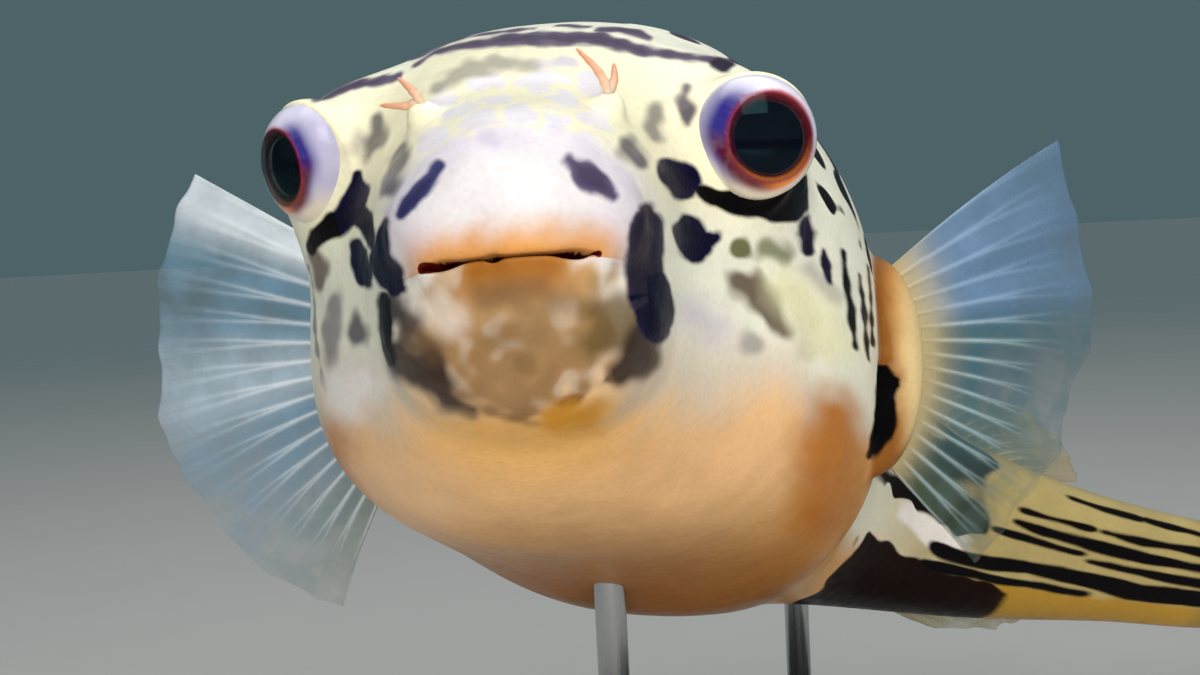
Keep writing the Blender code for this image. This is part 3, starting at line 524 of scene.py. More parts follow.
# Softer patches, blended into the ground colour: colour, strength, softness in mm, stroke.
softTones = {"grey": paint(128, 118, 126), "ash": paint(78, 70, 84), "soot": paint(44, 24, 10),
             "deepGold": paint(198, 118, 0), "lilac": paint(204, 194, 214), "olive": paint(100, 78, 36),
             "umber": paint(88, 62, 38), "white": paint(255, 246, 240), "gold": paint(222, 152, 40),
             "green": paint(104, 106, 58), "cream": paint(252, 247, 196)}
softMarks = [
    ("ash", 0.9, 1.4, [(-18, 26, 23, 0.9), (-19, 22, 20, 1.7), (-20, 19, 16, 1.0)]),
    ("ash", 0.85, 1.4, [(-26, 49, 34, 0.8), (-26, 46, 29.5, 1.7), (-27, 46, 27, 0.8)]),
    ("grey", 0.5, 2.0, [(-29, 49, 31, 0.9), (-30, 48, 29, 1.1)]),
    ("ash", 0.6, 1.6, [(-14, 43, 38, 0.8), (-11, 44, 40, 1.3), (-8, 45, 41, 1.4), (-4.5, 45, 41.5, 1.2),
                        (-1, 45, 42, 0.9), (3, 43, 41, 0.5)]),
    ("lilac", 0.8, 1.6, [(5, 44, 41, 0.8), (9, 46, 42, 0.6)]),
    ("lilac", 0.8, 1.2, [(-3, 7, 20, 1.1)]),
    ("ash", 0.95, 1.1, [(29, 53, 38, 0.5), (28.5, 51, 36, 0.9), (29, 50, 33, 1.2), (29, 49, 30, 0.6)]),
    ("ash", 0.75, 1.6, [(23, 46, 32, 1.0), (22, 42, 28.5, 1.2), (22, 40, 26, 0.8)]),
    ("ash", 0.95, 1.4, [(17.5, 22, 20.8, 1.4), (19.5, 22, 18.3, 1.0)]),
    ("green", 0.95, 0.9, [(38, 57, 9, 1.7)]),
    ("green", 0.8, 1.5, [(42, 63, 10, 1.3), (44, 67, 9.5, 1.4), (46, 71, 9, 0.9)]),
    ("grey", 0.5, 2.0, [(49.5, 82, 8, 1.0), (53.5, 92, 4, 0.9)]),
    ("umber", 0.9, 1.6, [(37, 57, 3, 1.7), (39.5, 60, 2, 2.4), (42, 64, 0, 2.0), (43, 67, -3, 1.4),
                         (45, 70, -5, 0.9)]),
    ("grey", 0.6, 1.8, [(38.5, 60, -8, 1.6)]),
    ("olive", 0.35, 2.4, [(47, 74, 2, 1.5), (49, 79, -3, 1.2), (49.5, 80, -8, 1.0)]),
    # Painted highlight: a soft, wide, cool lilac sheen low on the left cheek.
    ("lilac", 0.6, 5.0, [(26, 38, -4, 1.6), (32, 48, -6, 2.0)]),
    ("umber", 0.85, 1.4, [(-41, 61, 12, 1.2), (-41, 61, 9.5, 2.0), (-41, 63, 7, 1.1)]),
    ("grey", 0.8, 1.8, [(-35, 54, 3, 1.0), (-37.5, 57, -2, 2.0), (-38.5, 59, -8, 1.3)]),
    ("grey", 0.8, 0.5, [(-44, 67, 11, 0.3), (-44, 68, -3, 0.35), (-41, 65, -13, 0.3)]),
    ("ash", 0.9, 1.6, [(-30, 43, -2, 0.9), (-30, 44, -4.5, 1.7)]),
    ("soot", 0.95, 1.6, [(-19, 15, -4, 2.0), (-15.5, 10, -6, 1.4)]),
    ("soot", 0.97, 1.6, [(-20, 18, -9.5, 1.6), (-19, 18, -12, 2.2), (-15, 12, -13.5, 2.4),
                         (-11.5, 15, -18, 1.4), (-8, 15, -20, 0.6)]),
    ("umber", 0.8, 2.0, [(-16.5, 12, -8.5, 1.6), (-13.5, 10, -10.5, 1.8)]),
    ("white", 0.55, 3.0, [(-14.5, 9, -3.5, 0.8), (-12, 6, -4.5, 1.5), (-9.5, 5, -6.8, 1.6)]),
    ("white", 0.95, 4.0, [(-35, 56, -14, 4.2), (-29, 44, -13, 2.4)]),
    ("white", 0.5, 3.0, [(14, 8, -4.0, 1.6)]),
    ("olive", 0.85, 2.6, [(11.5, 7, -6.5, 1.8), (14.5, 9, -8.5, 3.8), (11, 8, -11, 1.6)]),
    ("soot", 0.97, 1.8, [(19, 17, -10.5, 2.4), (18, 17, -13, 2.6), (15.5, 15, -15.5, 1.6)]),
    ("umber", 0.9, 0.6, [(13, 14, -16.5, 0.4), (9, 14, -18.8, 0.4), (6, 14, -19.5, 0.3)]),
    ("umber", 0.45, 2.2, [(-4, 3, -3.5, 1.2), (3, 3, -3, 1.6), (7, 4, -5, 1.2)]),
    ("umber", 0.25, 2.6, [(-2, 4, -9, 2.2), (4, 4, -7.5, 2.0)]),
    ("olive", 0.4, 1.4, [(1, 7, -14, 1.2)]),
    ("gold", 0.9, 3.0, [(5, 18, -22, 1.6), (10, 21, -22, 1.9)]),
    ("deepGold", 0.97, 6.5, [(54, 97, -20, 4.0), (53, 101, -26, 5.8), (52, 112, -33, 5.5),
                             (50, 126, -38, 5.0)]),
    ("deepGold", 0.8, 6.0, [(-42, 72, -23, 2.4), (-46, 86, -28, 3.0), (-46, 100, -34, 3.4)]),
    ("white", 0.95, 1.6, [(28, 272, -1, 2.8), (25, 287, -2, 3.6)]),
    ("cream", 0.7, 4.0, [(46, 71, 3, 2.2), (50, 80, 0, 2.6), (53, 92, -6, 2.4)]),
]


# Marks on the head widen as they run back, as if drawn from a point ahead of and below the snout, in mm.
# Length along the fish counts for only a share, so a stroke also covers skin ahead of and behind it.
strokeSpace = {"from": (12.0, -213.0, -30.0), "headEnd": 90, "headShare": 0.14, "bodyShare": 0.25}


def spreadOut(p, onHead):
    # Points in the space where strokes are measured, and how much smaller things are there.
    start = np.array(strokeSpace["from"])
    shrink = start[1] / (start[1] - p[:, 1]) if onHead else np.ones(len(p))
    q = (p - start) * shrink[:, None]
    q[:, 1] = p[:, 1] * strokeSpace["headShare" if onHead else "bodyShare"]
    return q, shrink


def strokeDistance(p, stroke):
    # Distance from each point to the edge of a stroke, in mm: negative inside it.
    best = np.full(len(p), 1e9)
    onHead = stroke[0][1] < strokeSpace["headEnd"]
    p, shrink = spreadOut(p, onHead)
    stroke = np.array(stroke, float)
    path, shrinkPath = spreadOut(stroke[:, :3], onHead)
    half = stroke[:, 3] * shrinkPath
    for k in range(len(stroke)):
        last = max(k - 1, 0)
        along = path[k] - path[last]
        t = np.clip((p - path[last]) @ along / max(along @ along, 1e-9), 0, 1)
        away = np.sqrt(((p - path[last] - t[:, None] * along) ** 2).sum(axis=1))
        best = np.minimum(best, away - (half[last] + (half[k] - half[last]) * t))
    return best / shrink


def onSkin(mm, stroke):
    # The stroke with its points moved to the nearest skin, so that its whole width shows.
    thinned = mm[::3]
    return [(*thinned[np.argmin(((thinned - (x, y, z)) ** 2).sum(axis=1))], half)
            for x, y, z, half in stroke]


def strokeNear(p, stroke, reach=9.0):
    corners = np.array(stroke, float)[:, :3]
    reach = np.array([reach, 3 * reach, reach])
    low, high = corners.min(axis=0) - reach, corners.max(axis=0) + reach
    return np.flatnonzero(((p > low) & (p < high)).all(axis=1))


mazeShape = {
    "size": 11.5,                 # mm from one dark line to the next
    "seed": 11,
    "stretch": ([0, 120, 200, 300, 400], [1.0, 1.0, 1.7, 4.0, 4.5]),   # drawn out towards the tail
    "bias": -0.02,
    "crown": paint(86, 74, 96), "flank": paint(30, 20, 20),
}


def mazeField(mm):
    # Distance-like field of the dark maze over the back, in mm: positive inside a line.
    y = np.linspace(0, 410, 411)
    drawn = np.concatenate([[0], np.cumsum(1 / np.interp(y[1:], *mazeShape["stretch"]))])
    q = np.column_stack([mm[:, 0], np.interp(mm[:, 1], y, drawn), mm[:, 2]])
    value = waves(q, mazeShape["size"], mazeShape["seed"], 60, 0.18) + mazeShape["bias"]
    return value * mazeShape["size"] / (2 * math.pi)


# Where the colours lie, in mm: pairs are the start and end of a fade, "at" and "radii" are a rounded patch.
skinZones = {
    "foreheadRise": (8, 20), "foreheadBack": (50, 75), "cellLine": (0.2, 2.4), "cellReach": (2.6, 4.4),
    "cellSide": (14, 19), "muzzle": {"at": (0, 6, 9.5), "radii": (19, 24, 11)}, "lipHeight": (0.2, 7.0),
    "lipFront": (11, 17), "lipSide": (12, 19), "hazeHeight": (2, 14), "hazeBack": (95, 130),
    "bellyEdge": (-8.0, 5.0), "bellyGold": (70, 150), "bellySide": (15, 45), "throatBack": (26, 50),
    "bellyShadeLevel": (-56, -34), "chinBack": (17, 28),
    # how far the chin's patch reaches to each side, at each height below the mouth
    "chinOutline": ([-24, -21, -17, -12, -7, -3, 0], [0, 8, 14, 17, 17, 15.5, 13]),
    "finBase": {"at": (60, 143, -3), "radii": (13, 12, 27)}, "tailFront": (230, 300),
    "underFront": (240, 260), "underBack": (306, 332), "lowGoldFront": (290, 318), "tailEnd": (384, 408),
    "mazeFront": (74, 86), "mazeBack": (296, 322),
    # how low the maze comes down the flank at each station
    "mazeBorder": ([80, 110, 134, 146, 180, 220, 260, 300], [30, 20, 14, -26, -22, -10, -1, -2]),
}


def skinRipples(mm):
    # Smooth noises that keep the colours from lying even, the last one drawn out along the fish.
    return {"broad": waves(mm, 30, 3), "middling": waves(mm, 10, 4), "small": waves(mm, 4.5, 5),
            "drawn": waves(mm * (1, 0.2, 1), 4.5, 8)}


def fade(name, value):
    return smooth(*skinZones[name], value)


def patchReach(name, x, y, z):
    # How far out each point lies in a rounded patch: 1 at its edge.
    at, radii = skinZones[name]["at"], skinZones[name]["radii"]
    return np.sqrt(sum(((value - middle) / radius) ** 2
                       for value, middle, radius in zip((x, y, z), at, radii)))


def paintForehead(tone, mm, ripple):
    # Lilac cells: a pale yellow line runs wherever two cells' middles are equally near.
    x, y, z = mm.T
    ax = np.abs(x)
    tone = mixTone(tone, skinTones["forehead"], fade("foreheadRise", z) * (1 - fade("foreheadBack", y)))
    centres = np.array(foreheadCells, float)
    front = np.flatnonzero((y < 60) & (z > 12) & (ax < 24))
    across = x[front, None] + 0.7 * ripple["drawn"][front, None] - centres[:, 0]
    up = z[front, None] + 0.7 * ripple["middling"][front, None] - centres[:, 1]
    reach = np.sort(np.hypot(across, up), axis=1)
    cell = fade("cellLine", reach[:, 1] - reach[:, 0]) * (1 - fade("cellReach", reach[:, 0]))
    tone[front] = mixTone(tone[front], skinTones["cell"], cell * (1 - fade("cellSide", ax[front])))
    return tone


def paintMuzzle(tone, mm, ripple):
    # White, a little lilac above, and orange along the upper lip.
    x, y, z = mm.T
    reach = patchReach("muzzle", x, y, z) + 0.05 * ripple["small"]
    tone = mixTone(tone, skinTones["muzzleTop"], 1 - smooth(0.9, 1.5, reach))
    tone = mixTone(tone, skinTones["muzzle"], 1 - smooth(0.55, 1.1, reach))
    above = z - mouthLine(x / 1000) * 1000
    lip = (1 - fade("lipFront", y)) * (1 - fade("lipHeight", above + 0.25 * ripple["small"]))
    lip *= (above > -0.6) * (1 - fade("lipSide", np.abs(x)))
    return mixTone(tone, skinTones["lipMargin"], lip)


def paintBelly(tone, mm, ripple):
    # The belly with its gold borders, under a pale haze, and painted shade along its bottom. Also gives how
    # far each point is on the belly.
    x, y, z = mm.T
    border = np.interp(y, *skinTones["bellyLine"]) + 0.6 * ripple["middling"] + 1.8 * ripple["broad"]
    haze = (1 - fade("hazeHeight", z - border)) * (1 - fade("hazeBack", y))
    tone = mixTone(tone, skinTones["haze"], haze * 0.85)
    belly = np.tile(skinTones["belly"], (len(mm), 1))
    belly = mixTone(belly, skinTones["gold"],
                    fade("bellyGold", y) * (0.25 + 0.5 * fade("bellySide", np.abs(x))))
    belly = mixTone(belly, skinTones["throat"], (1 - fade("throatBack", y)) * 0.8)
    # Painted shade: the downward-facing bottom of the belly is painted darker.
    belly = mixTone(belly, skinTones["bellyShade"], (1 - fade("bellyShadeLevel", z)) * 0.8)
    below = 1 - fade("bellyEdge", z - border)
    return mixTone(tone, belly, below), below


def paintChin(tone, mm, ripple):
    # A brown patch with paler mottling, darkest orange just under the lower lip, and painted shade lower
    # down.
    x, y, z = mm.T
    ax = np.abs(x)
    line = mouthLine(x / 1000) * 1000
    half = np.interp(z - line, *skinZones["chinOutline"])
    # Just below the mouth line the lower lip's orange is partly painted shadow under the overhanging upper
    # lip.
    chin = mixTone(np.tile(skinTones["chin"], (len(mm), 1)), skinTones["lowerLip"],
                   (1 - smooth(1.5, 9, line - z)) * (1 - smooth(5, 12, ax)))
    # Painted shade: the chin darkens further below the mouth, where it faces down.
    chin = mixTone(chin, skinTones["chinShade"], smooth(6, 15, line - z) + 0.25 * ripple["middling"])
    chin = mixTone(chin, skinTones["chinPale"],
                   0.4 * smooth(0.3, 1.9, ripple["middling"] + 0.6 * ripple["small"]))
    chin *= (1 + 0.04 * ripple["small"] + 0.07 * ripple["middling"])[:, None]
    share = (1 - smooth(-4.5, 2.5, ax - half + 1.2 * ripple["small"])) * (1 - fade("chinBack", y))
    return mixTone(tone, chin, share * smooth(-0.5, 0.3, line - z))


def paintFinBases(tone, mm, ripple):
    # The pads that carry the pectoral fins. Also gives how far each point is on a pad.
    x, y, z = mm.T
    ax = np.abs(x)
    base = np.tile(skinTones["finBase"], (len(mm), 1))
    base = mixTone(base, skinTones["finBaseEdge"], smooth(60, 67, ax))
    # Painted shade: the pad is darker on its inner side, towards the body, and lower down.
    shade = 1 - smooth(60.5, 65.5, ax + 0.10 * z + 0.5 * ripple["middling"])
    base = mixTone(base, skinTones["finBaseShade"], shade)
    pad = 1 - smooth(0.95, 1.1, patchReach("finBase", ax, y, z))
    pad *= smooth(54, 57, ax) * smooth(128, 133, y)
    return mixTone(tone, base, pad), pad


def paintTail(tone, mm, ripple, below):
    y, z = mm.T[1:]
    tone = mixTone(tone, skinTones["tail"], fade("tailFront", y) * (1 - below))
    lowGold = fade("lowGoldFront", y) * (1 - smooth(-10.5, -7.5, z + 0.4 * ripple["middling"]))
    tone = mixTone(tone, skinTones["tailGold"], lowGold)
    return mixTone(tone, skinTones["tailEnd"], fade("tailEnd", y))


def paintSoftMarks(tone, mm, ripple):
    for name, strength, softness, stroke in softMarks:
        stroke = onSkin(mm, stroke)
        near = strokeNear(mm, stroke, 14)
        away = strokeDistance(mm[near], stroke) + 0.30 * ripple["drawn"][near]
        mask = strength * (1 - smooth(-0.5 * softness, softness, away))
        tone[near] = mixTone(tone[near], softTones[name], mask)


# Ink, and the painted shade that rides with it, has a field and a tone at each point. 0.5 is an edge, and
# the field climbs by 1 in inkClimb mm.
inkClimb = 4


def inkStrokes(inkAndShade, inkAndShadeTone, mm, ripple):
    mirrored = [(name, [(-x, y, z, half) for x, y, z, half in stroke]) for name, stroke in flankMarks]
    for name, stroke in inkMarks + flankMarks + mirrored:
        stroke = onSkin(mm, stroke)
        near = strokeNear(mm, stroke)
        field = 0.55 - (strokeDistance(mm[near], stroke) + 0.16 * ripple["drawn"][near]) / inkClimb
        stronger = field > inkAndShade[near]
        inkAndShadeTone[near[stronger]] = inkAndShadeTones[name]
        inkAndShade[near] = np.maximum(inkAndShade[near], field)


def inkMaze(inkAndShade, inkAndShadeTone, mm, ripple, pad):
    y, z = mm.T[1:]
    border = np.interp(y, *skinZones["mazeBorder"])
    back = (1 - pad) * fade("mazeFront", y) * (1 - fade("mazeBack", y)) * smooth(
        -3, 4, z - border + 1.5 * ripple["middling"])
    field = np.where(back > 0.02, 0.5 + (mazeField(mm) - 6 * (1 - back)) / inkClimb, -1)
    tone = mixTone(np.tile(mazeShape["flank"], (len(mm), 1)), mazeShape["crown"],
                   (1 - smooth(90, 140, y)) * smooth(30, 50, z))
    stronger = field > inkAndShade
    inkAndShadeTone[stronger] = tone[stronger]
    np.maximum(inkAndShade, field, out=inkAndShade)


def inkUnderTailShade(inkAndShade, inkAndShadeTone, mm, ripple):
    # Painted shade: the underside below and behind the belly, which lies in shadow, is painted dark.
    y, z = mm.T[1:]
    under = fade("underFront", y + 5 * ripple["broad"] + 3 * ripple["middling"]) * (
        1 - fade("underBack", y)) * (1 - smooth(-9, -3, z + 5 + 0.45 * ripple["middling"]))
    field = 0.5 + 1.2 * (under - 0.5)
    inkAndShadeTone[field > inkAndShade] = skinTones["underTailShade"]
    np.maximum(inkAndShade, field, out=inkAndShade)


def paintHollowShade(inkAndShade, inkAndShadeTone, straight):
    # Painted shade in the hollows: the mouth's slit is painted dark red, partly the colour inside the lips
    # and partly shade, and the gill opening near black as shade.
    mouth = 1 - smooth(-0.2, 0.5, mouthSlit(straight) * 1000 - 0.6)
    mouth *= smooth(2.0, 3.5, straight[:, 1] * 1000)
    halved = np.column_stack([np.abs(straight[:, 0]), straight[:, 1:]])
    opening = ellipsoid(halved, gillShape["centre"], gillShape["radii"])
    gill = 1 - smooth(-0.1, 0.5, 1000 * opening)
    for field, tone in ((mouth, skinTones["mouthInside"]), (gill, inkAndShadeTones["pitShadow"])):
        inkAndShadeTone[field > 0.3] = tone
        np.maximum(inkAndShade, field, out=inkAndShade)


def paintSkin(skin, straight):
    mm = straight * 1000
    ripple = skinRipples(mm)
    tone = np.tile(skinTones["cream"], (len(mm), 1))
    tone = paintForehead(tone, mm, ripple)
    tone = paintMuzzle(tone, mm, ripple)
    tone, below = paintBelly(tone, mm, ripple)
    tone = paintChin(tone, mm, ripple)
    tone, pad = paintFinBases(tone, mm, ripple)
    tone = paintTail(tone, mm, ripple, below)
    paintSoftMarks(tone, mm, ripple)
    tone *= (1 + 0.025 * ripple["broad"] + 0.02 * ripple["middling"])[:, None]
    # The ink field also carries painted shade: under the tail, in the mouth and in the gill opening.
    inkAndShade = np.zeros(len(mm))
    inkAndShadeTone = np.tile(inkAndShadeTones["navy"], (len(mm), 1))
    inkStrokes(inkAndShade, inkAndShadeTone, mm, ripple)
    inkMaze(inkAndShade, inkAndShadeTone, mm, ripple, pad)
    inkUnderTailShade(inkAndShade, inkAndShadeTone, mm, ripple)
    paintHollowShade(inkAndShade, inkAndShadeTone, straight)
    storeAttribute(skin.data, "straight", "FLOAT_VECTOR", straight)
    storeAttribute(skin.data, "baseTone", "FLOAT_COLOR", np.clip(tone, 0, 1))
    storeAttribute(skin.data, "inkAndShadeTone", "FLOAT_COLOR", inkAndShadeTone)
    storeAttribute(skin.data, "inkAndShade", "FLOAT", inkAndShade)


def feed(tree, target, inputs):
    # Each input is either another node's socket, which is linked, or a value.
    for socket, value in inputs.items():
        if isinstance(value, bpy.types.NodeSocket):
            tree.links.new(value, target.inputs[socket])
        else:
            target.inputs[socket].default_value = value


def node(tree, kind, inputs=None, **settings):
    made = tree.nodes.new("ShaderNode" + kind)
    for name, value in settings.items():
        setattr(made, name, value)
    feed(tree, made, inputs or {})
    return made


def newMaterial(name):
    material = bpy.data.materials.new(name)
    material.use_nodes = True
    return material, material.node_tree, material.node_tree.nodes["Principled BSDF"]


def attribute(tree, name, output):
    return node(tree, "Attribute", attribute_name=name).outputs[output]


def objectPlace(tree):
    return node(tree, "TexCoord").outputs["Object"]


def calculate(tree, operation, a, b):
    return node(tree, "Math", {0: a, 1: b}, operation=operation).outputs[0]


def times(tree, a, b):
    return calculate(tree, "MULTIPLY", a, b)


def plus(tree, a, b):
    return calculate(tree, "ADD", a, b)


def mixColour(tree, factor, a, b, blend="MIX"):
    mixed = node(tree, "Mix", {0: factor}, data_type="RGBA", blend_type=blend)
    for socket, value in ((6, a), (7, b)):
        feed(tree, mixed, {socket: value if isinstance(value, bpy.types.NodeSocket) else (*value, 1.0)})
    return mixed.outputs[2]


def ramp(tree, value, low, high, toLow=0.0, toHigh=1.0):
    return node(tree, "MapRange", {0: value, 1: low, 2: high, 3: toLow, 4: toHigh},
                interpolation_type="SMOOTHSTEP").outputs[0]


def noise(tree, where, scale, detail, roughness=0.5):
    return node(tree, "TexNoise", {"Vector": where, "Scale": scale, "Detail": detail,
                                   "Roughness": roughness}).outputs[0]


def bump(tree, height, strength, distance, normal=None):
    inputs = {"Strength": strength, "Distance": distance, "Height": height}
    if normal is not None:
        inputs["Normal"] = normal
    return node(tree, "Bump", inputs).outputs[0]


skinFinish = {
    "roughness": (0.34, 0.48), "specular": (0.30, 0.06), "coat": (0.10, 0.03), "coatRoughness": 0.18,
    "subsurface": 0.10, "subsurfaceDepth": 0.0025, "subsurfaceRadius": (1.0, 0.45, 0.25),
    "prickleSpacing": 950, "prickleHeight": 0.00012, "wrinkleHeight": 0.0005,
    "dimple": (0.88, 0.86, 0.80), "fleck": (0.36, 0.27, 0.20), "inkHeart": (0.45, 0.42, 0.5),
    "raggedness": 0.16,           # how far the edges of the ink wander
}


def skinMaterial():
    material, tree, shader = newMaterial("wetSkin")
    where = attribute(tree, "straight", "Vector")
    inkAndShade, inkAndShadeTone = attribute(tree, "inkAndShade", "Fac"), attribute(tree, "inkAndShadeTone", "Color")
    fine, coarse = noise(tree, where, 800, 3), noise(tree, where, 260, 3)
    drawn = noise(tree, node(tree, "Mapping", {"Vector": where, "Scale": (1, 0.2, 1)}).outputs[0], 420, 3)
    ragged = times(tree, calculate(tree, "SUBTRACT", drawn, 0.5), skinFinish["raggedness"])
    # Where the ink marks and the painted shade carried with them lie.
    inkAndShadeShare = ramp(tree, plus(tree, inkAndShade, ragged), 0.36, 0.62)
    ground = mixColour(tree, ramp(tree, fine, 0.35, 0.75, 0.0, 0.5), attribute(tree, "baseTone", "Color"),
                       skinFinish["dimple"], "MULTIPLY")
    ground = mixColour(tree, ramp(tree, noise(tree, where, 420, 4, 0.6), 0.55, 0.80, 0.0, 0.08), ground,
                       skinFinish["fleck"])
    heart = mixColour(tree, 1.0, inkAndShadeTone, skinFinish["inkHeart"], "MULTIPLY")
    deep = ramp(tree, plus(tree, inkAndShade, times(tree, coarse, 0.3)), 0.6, 1.0)
    prickles = node(tree, "TexVoronoi", {"Vector": where, "Scale": skinFinish["prickleSpacing"],
                                         "Randomness": 0.85}, feature="F1")
    domes = ramp(tree, prickles.outputs["Distance"], 0.0, 0.55, 1.0, 0.0)
    normal = bump(tree, domes, 0.25, skinFinish["prickleHeight"])
    feed(tree, shader, {
        "Base Color": mixColour(tree, inkAndShadeShare, ground, mixColour(tree, deep, inkAndShadeTone, heart)),
        "Specular IOR Level": ramp(tree, inkAndShadeShare, 0, 1, *skinFinish["specular"]),
        "Roughness": ramp(tree, coarse, 0.3, 0.7, *skinFinish["roughness"]),
        "Normal": bump(tree, noise(tree, where, 190, 4, 0.55), 0.30, skinFinish["wrinkleHeight"], normal),
        "Coat Weight": ramp(tree, inkAndShadeShare, 0, 1, *skinFinish["coat"]),
        "Coat Roughness": skinFinish["coatRoughness"], "Subsurface Weight": skinFinish["subsurface"],
        "Subsurface Radius": skinFinish["subsurfaceRadius"],
        "Subsurface Scale": skinFinish["subsurfaceDepth"],
    })
    return material


def settle(piece, slot, *nodes):
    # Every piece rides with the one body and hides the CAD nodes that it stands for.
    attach(piece, "root")
    if nodes:
        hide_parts(*nodes)


def makeSkin():
    grid = makeSkinGrid()
    rings, columns = grid.shape[:2]
    flat = grid.reshape(-1, 3)
    straight = np.vstack([flat, grid[0].mean(axis=0), grid[-1].mean(axis=0)])
    ends = endFans(rings, columns, len(flat))
    skin = addMesh("skin", bendSpine(straight), ringQuads(rings, columns), ends)
    paintSkin(skin, straight)
    skin.data.materials.append(skinMaterial())
    settle(skin, "skin", "head", "lower_jaw", "trunk", "rear_body", "tail_stalk", "pectoral_base_left",
           "pectoral_base_right")
    print("skin:", len(skin.data.vertices), "points")


makeSkin()


eyeFinish = {
    "irisDepth": 0.0012, "irisEdge": 0.0003, "irisLip": 0.00012, "lensRise": 0.0009,
    "white": paint(228, 224, 246), "rim": paint(240, 226, 204), "navy": paint(26, 14, 128),
    "maroon": paint(96, 16, 20), "gold": paint(244, 138, 28), "pink": paint(222, 100, 92),
    "crimson": paint(140, 12, 40), "globeEdgeShade": paint(118, 112, 160), "irisDark": paint(40, 4, 12),
    "irisViolet": paint(44, 16, 60), "fibre": (0.05, 0.01, 0.02), "vein": (0.4, 0.3, 0.5),
    "pupil": ((0.001, 0.001, 0.003), (0.004, 0.003, 0.010)),
    "toneRadius": 7.6,            # the ring colours are laid out for an iris of this radius in mm
    # how far out each colour fades, in mm from the middle of the iris
    "globeEdgeShadeFade": (9.4, 11.0), "rimFade": (8.8, 10.4), "pinkFade": (7.9, 9.0), "goldFade": (8.5, 10.1),
    "navyFade": (9.2, 11.4), "maroonFade": (8.8, 10.6), "crimsonFade": (7.8, 8.6), "irisFade": (7.4, 7.9),
    "irisDarkFade": (6.3, 7.5), "irisGoldFade": (6.7, 7.5),
    # the sides of the eye: degrees from straight outward, and the fade to that side
    "inward": (172, 0.2, 0.9), "above": (95, 0.15, 0.9), "below": (-80, 0.1, 0.8),
    "lowInward": (-135, 0.5, 0.95),
}


def eyeFade(name, rho):
    return smooth(*eyeFinish[name], rho)


def eyeSide(name, turn):
    heading, start, end = eyeFinish[name]
    return smooth(start, end, np.cos(turn - math.radians(heading)))


def globeSurface(rho):
    return eyeShape["halfDepth"] * np.sqrt(np.maximum(1 - (rho / eyeShape["radius"]) ** 2, 0))


def lathe(name, profileRho, profileZ, columns, side):
    # A turned surface about the gaze, from (radius, height) pairs.
    centre, axes = eyeFrame(side)
    turn = fullTurn(columns)
    local = np.stack([profileRho[:, None] * np.cos(turn), profileRho[:, None] * np.sin(turn),
                      profileZ[:, None] + 0 * turn], axis=2).reshape(-1, 3)
    piece = addMesh(name, shiftIris(local, side) @ axes.T + centre, ringQuads(len(profileRho), columns))
    return piece, local


def shiftIris(local, side):
    # The iris sits a little off the middle of the globe, so its rings slide over the front of it.
    rho = np.hypot(local[:, 0], local[:, 1])
    share = (1 - smooth(0.72, 1.0, rho / eyeShape["radius"])) * (local[:, 2] > 0)
    moved = local.copy()
    moved[:, :2] += share[:, None] * np.array(eyeShape[side]["irisShift"])
    moved[:, 2] += (globeSurface(np.hypot(moved[:, 0], moved[:, 1])) - globeSurface(rho)) * (share > 0)
    return moved


def eyeballTone(local, eye):
    # Colours round the iris: navy on the side of the snout, pink above, gold below.
    x, y, _ = (local * 1000).T
    x = x * eye["sign"]                            # positive is outward, away from the snout
    rho = np.hypot(x, y) * eyeFinish["toneRadius"] / 1000 / eye["iris"]
    turn = np.arctan2(y, x)
    wobble = 0.30 * np.cos(3 * turn + 1) + 0.12 * np.cos(7 * turn)
    inward, below = eyeSide("inward", turn), eyeSide("below", turn)
    tone = np.tile(eyeFinish["white"], (len(x), 1))
    # Painted shade: the globe's outer edge on the side of the snout turns a dull grey-violet.
    tone = mixTone(tone, eyeFinish["globeEdgeShade"], eyeFade("globeEdgeShadeFade", rho) * inward * 0.5)
    tone = mixTone(tone, eyeFinish["rim"], eyeFade("rimFade", rho) * below)
    for name, side in (("pink", "above"), ("gold", "below"), ("navy", "inward"), ("maroon", "lowInward")):
        share = (1 - eyeFade(name + "Fade", rho + wobble)) * eyeSide(side, turn)
        tone = mixTone(tone, eyeFinish[name], share)
    tone = mixTone(tone, eyeFinish["crimson"], (1 - eyeFade("crimsonFade", rho)) * 0.9)
    irisTone = np.tile(eyeFinish["crimson"], (len(x), 1))
    irisTone = mixTone(irisTone, eyeFinish["irisDark"], 1 - eyeFade("irisDarkFade", rho))
    irisTone = mixTone(irisTone, eyeFinish["gold"], below * eyeFade("irisGoldFade", rho) * 0.9)
    irisTone = mixTone(irisTone, eyeFinish["irisViolet"], inward * 0.5)
    return mixTone(tone, irisTone, 1 - eyeFade("irisFade", rho))


def eyeballMaterial():
    material, tree, shader = newMaterial("eyeball")
    where = attribute(tree, "eyePlace", "Vector")
    fibres = noise(tree, attribute(tree, "eyeTurn", "Vector"), 14, 4, 0.6)
    inner = ramp(tree, attribute(tree, "eyeRing", "Fac"), 8.2, 9.4, 0.22, 0.04)
    colour = mixColour(tree, times(tree, ramp(tree, fibres, 0.35, 0.75), inner),
                       attribute(tree, "baseTone", "Color"), eyeFinish["fibre"])
    feed(tree, shader, {
        "Base Color": mixColour(tree, ramp(tree, noise(tree, where, 900, 3), 0.5, 0.8, 0.0, 0.10), colour,
                                eyeFinish["vein"]),
        "Roughness": ramp(tree, noise(tree, where, 500, 2), 0.3, 0.7, 0.16, 0.26),
        "Normal": bump(tree, noise(tree, where, 700, 3), 0.2, 0.0001),
        "Coat Weight": 0.6, "Coat Roughness": 0.05, "Subsurface Weight": 0.15,
        "Subsurface Radius": (1.0, 0.5, 0.5), "Subsurface Scale": 0.001,
    })
    return material


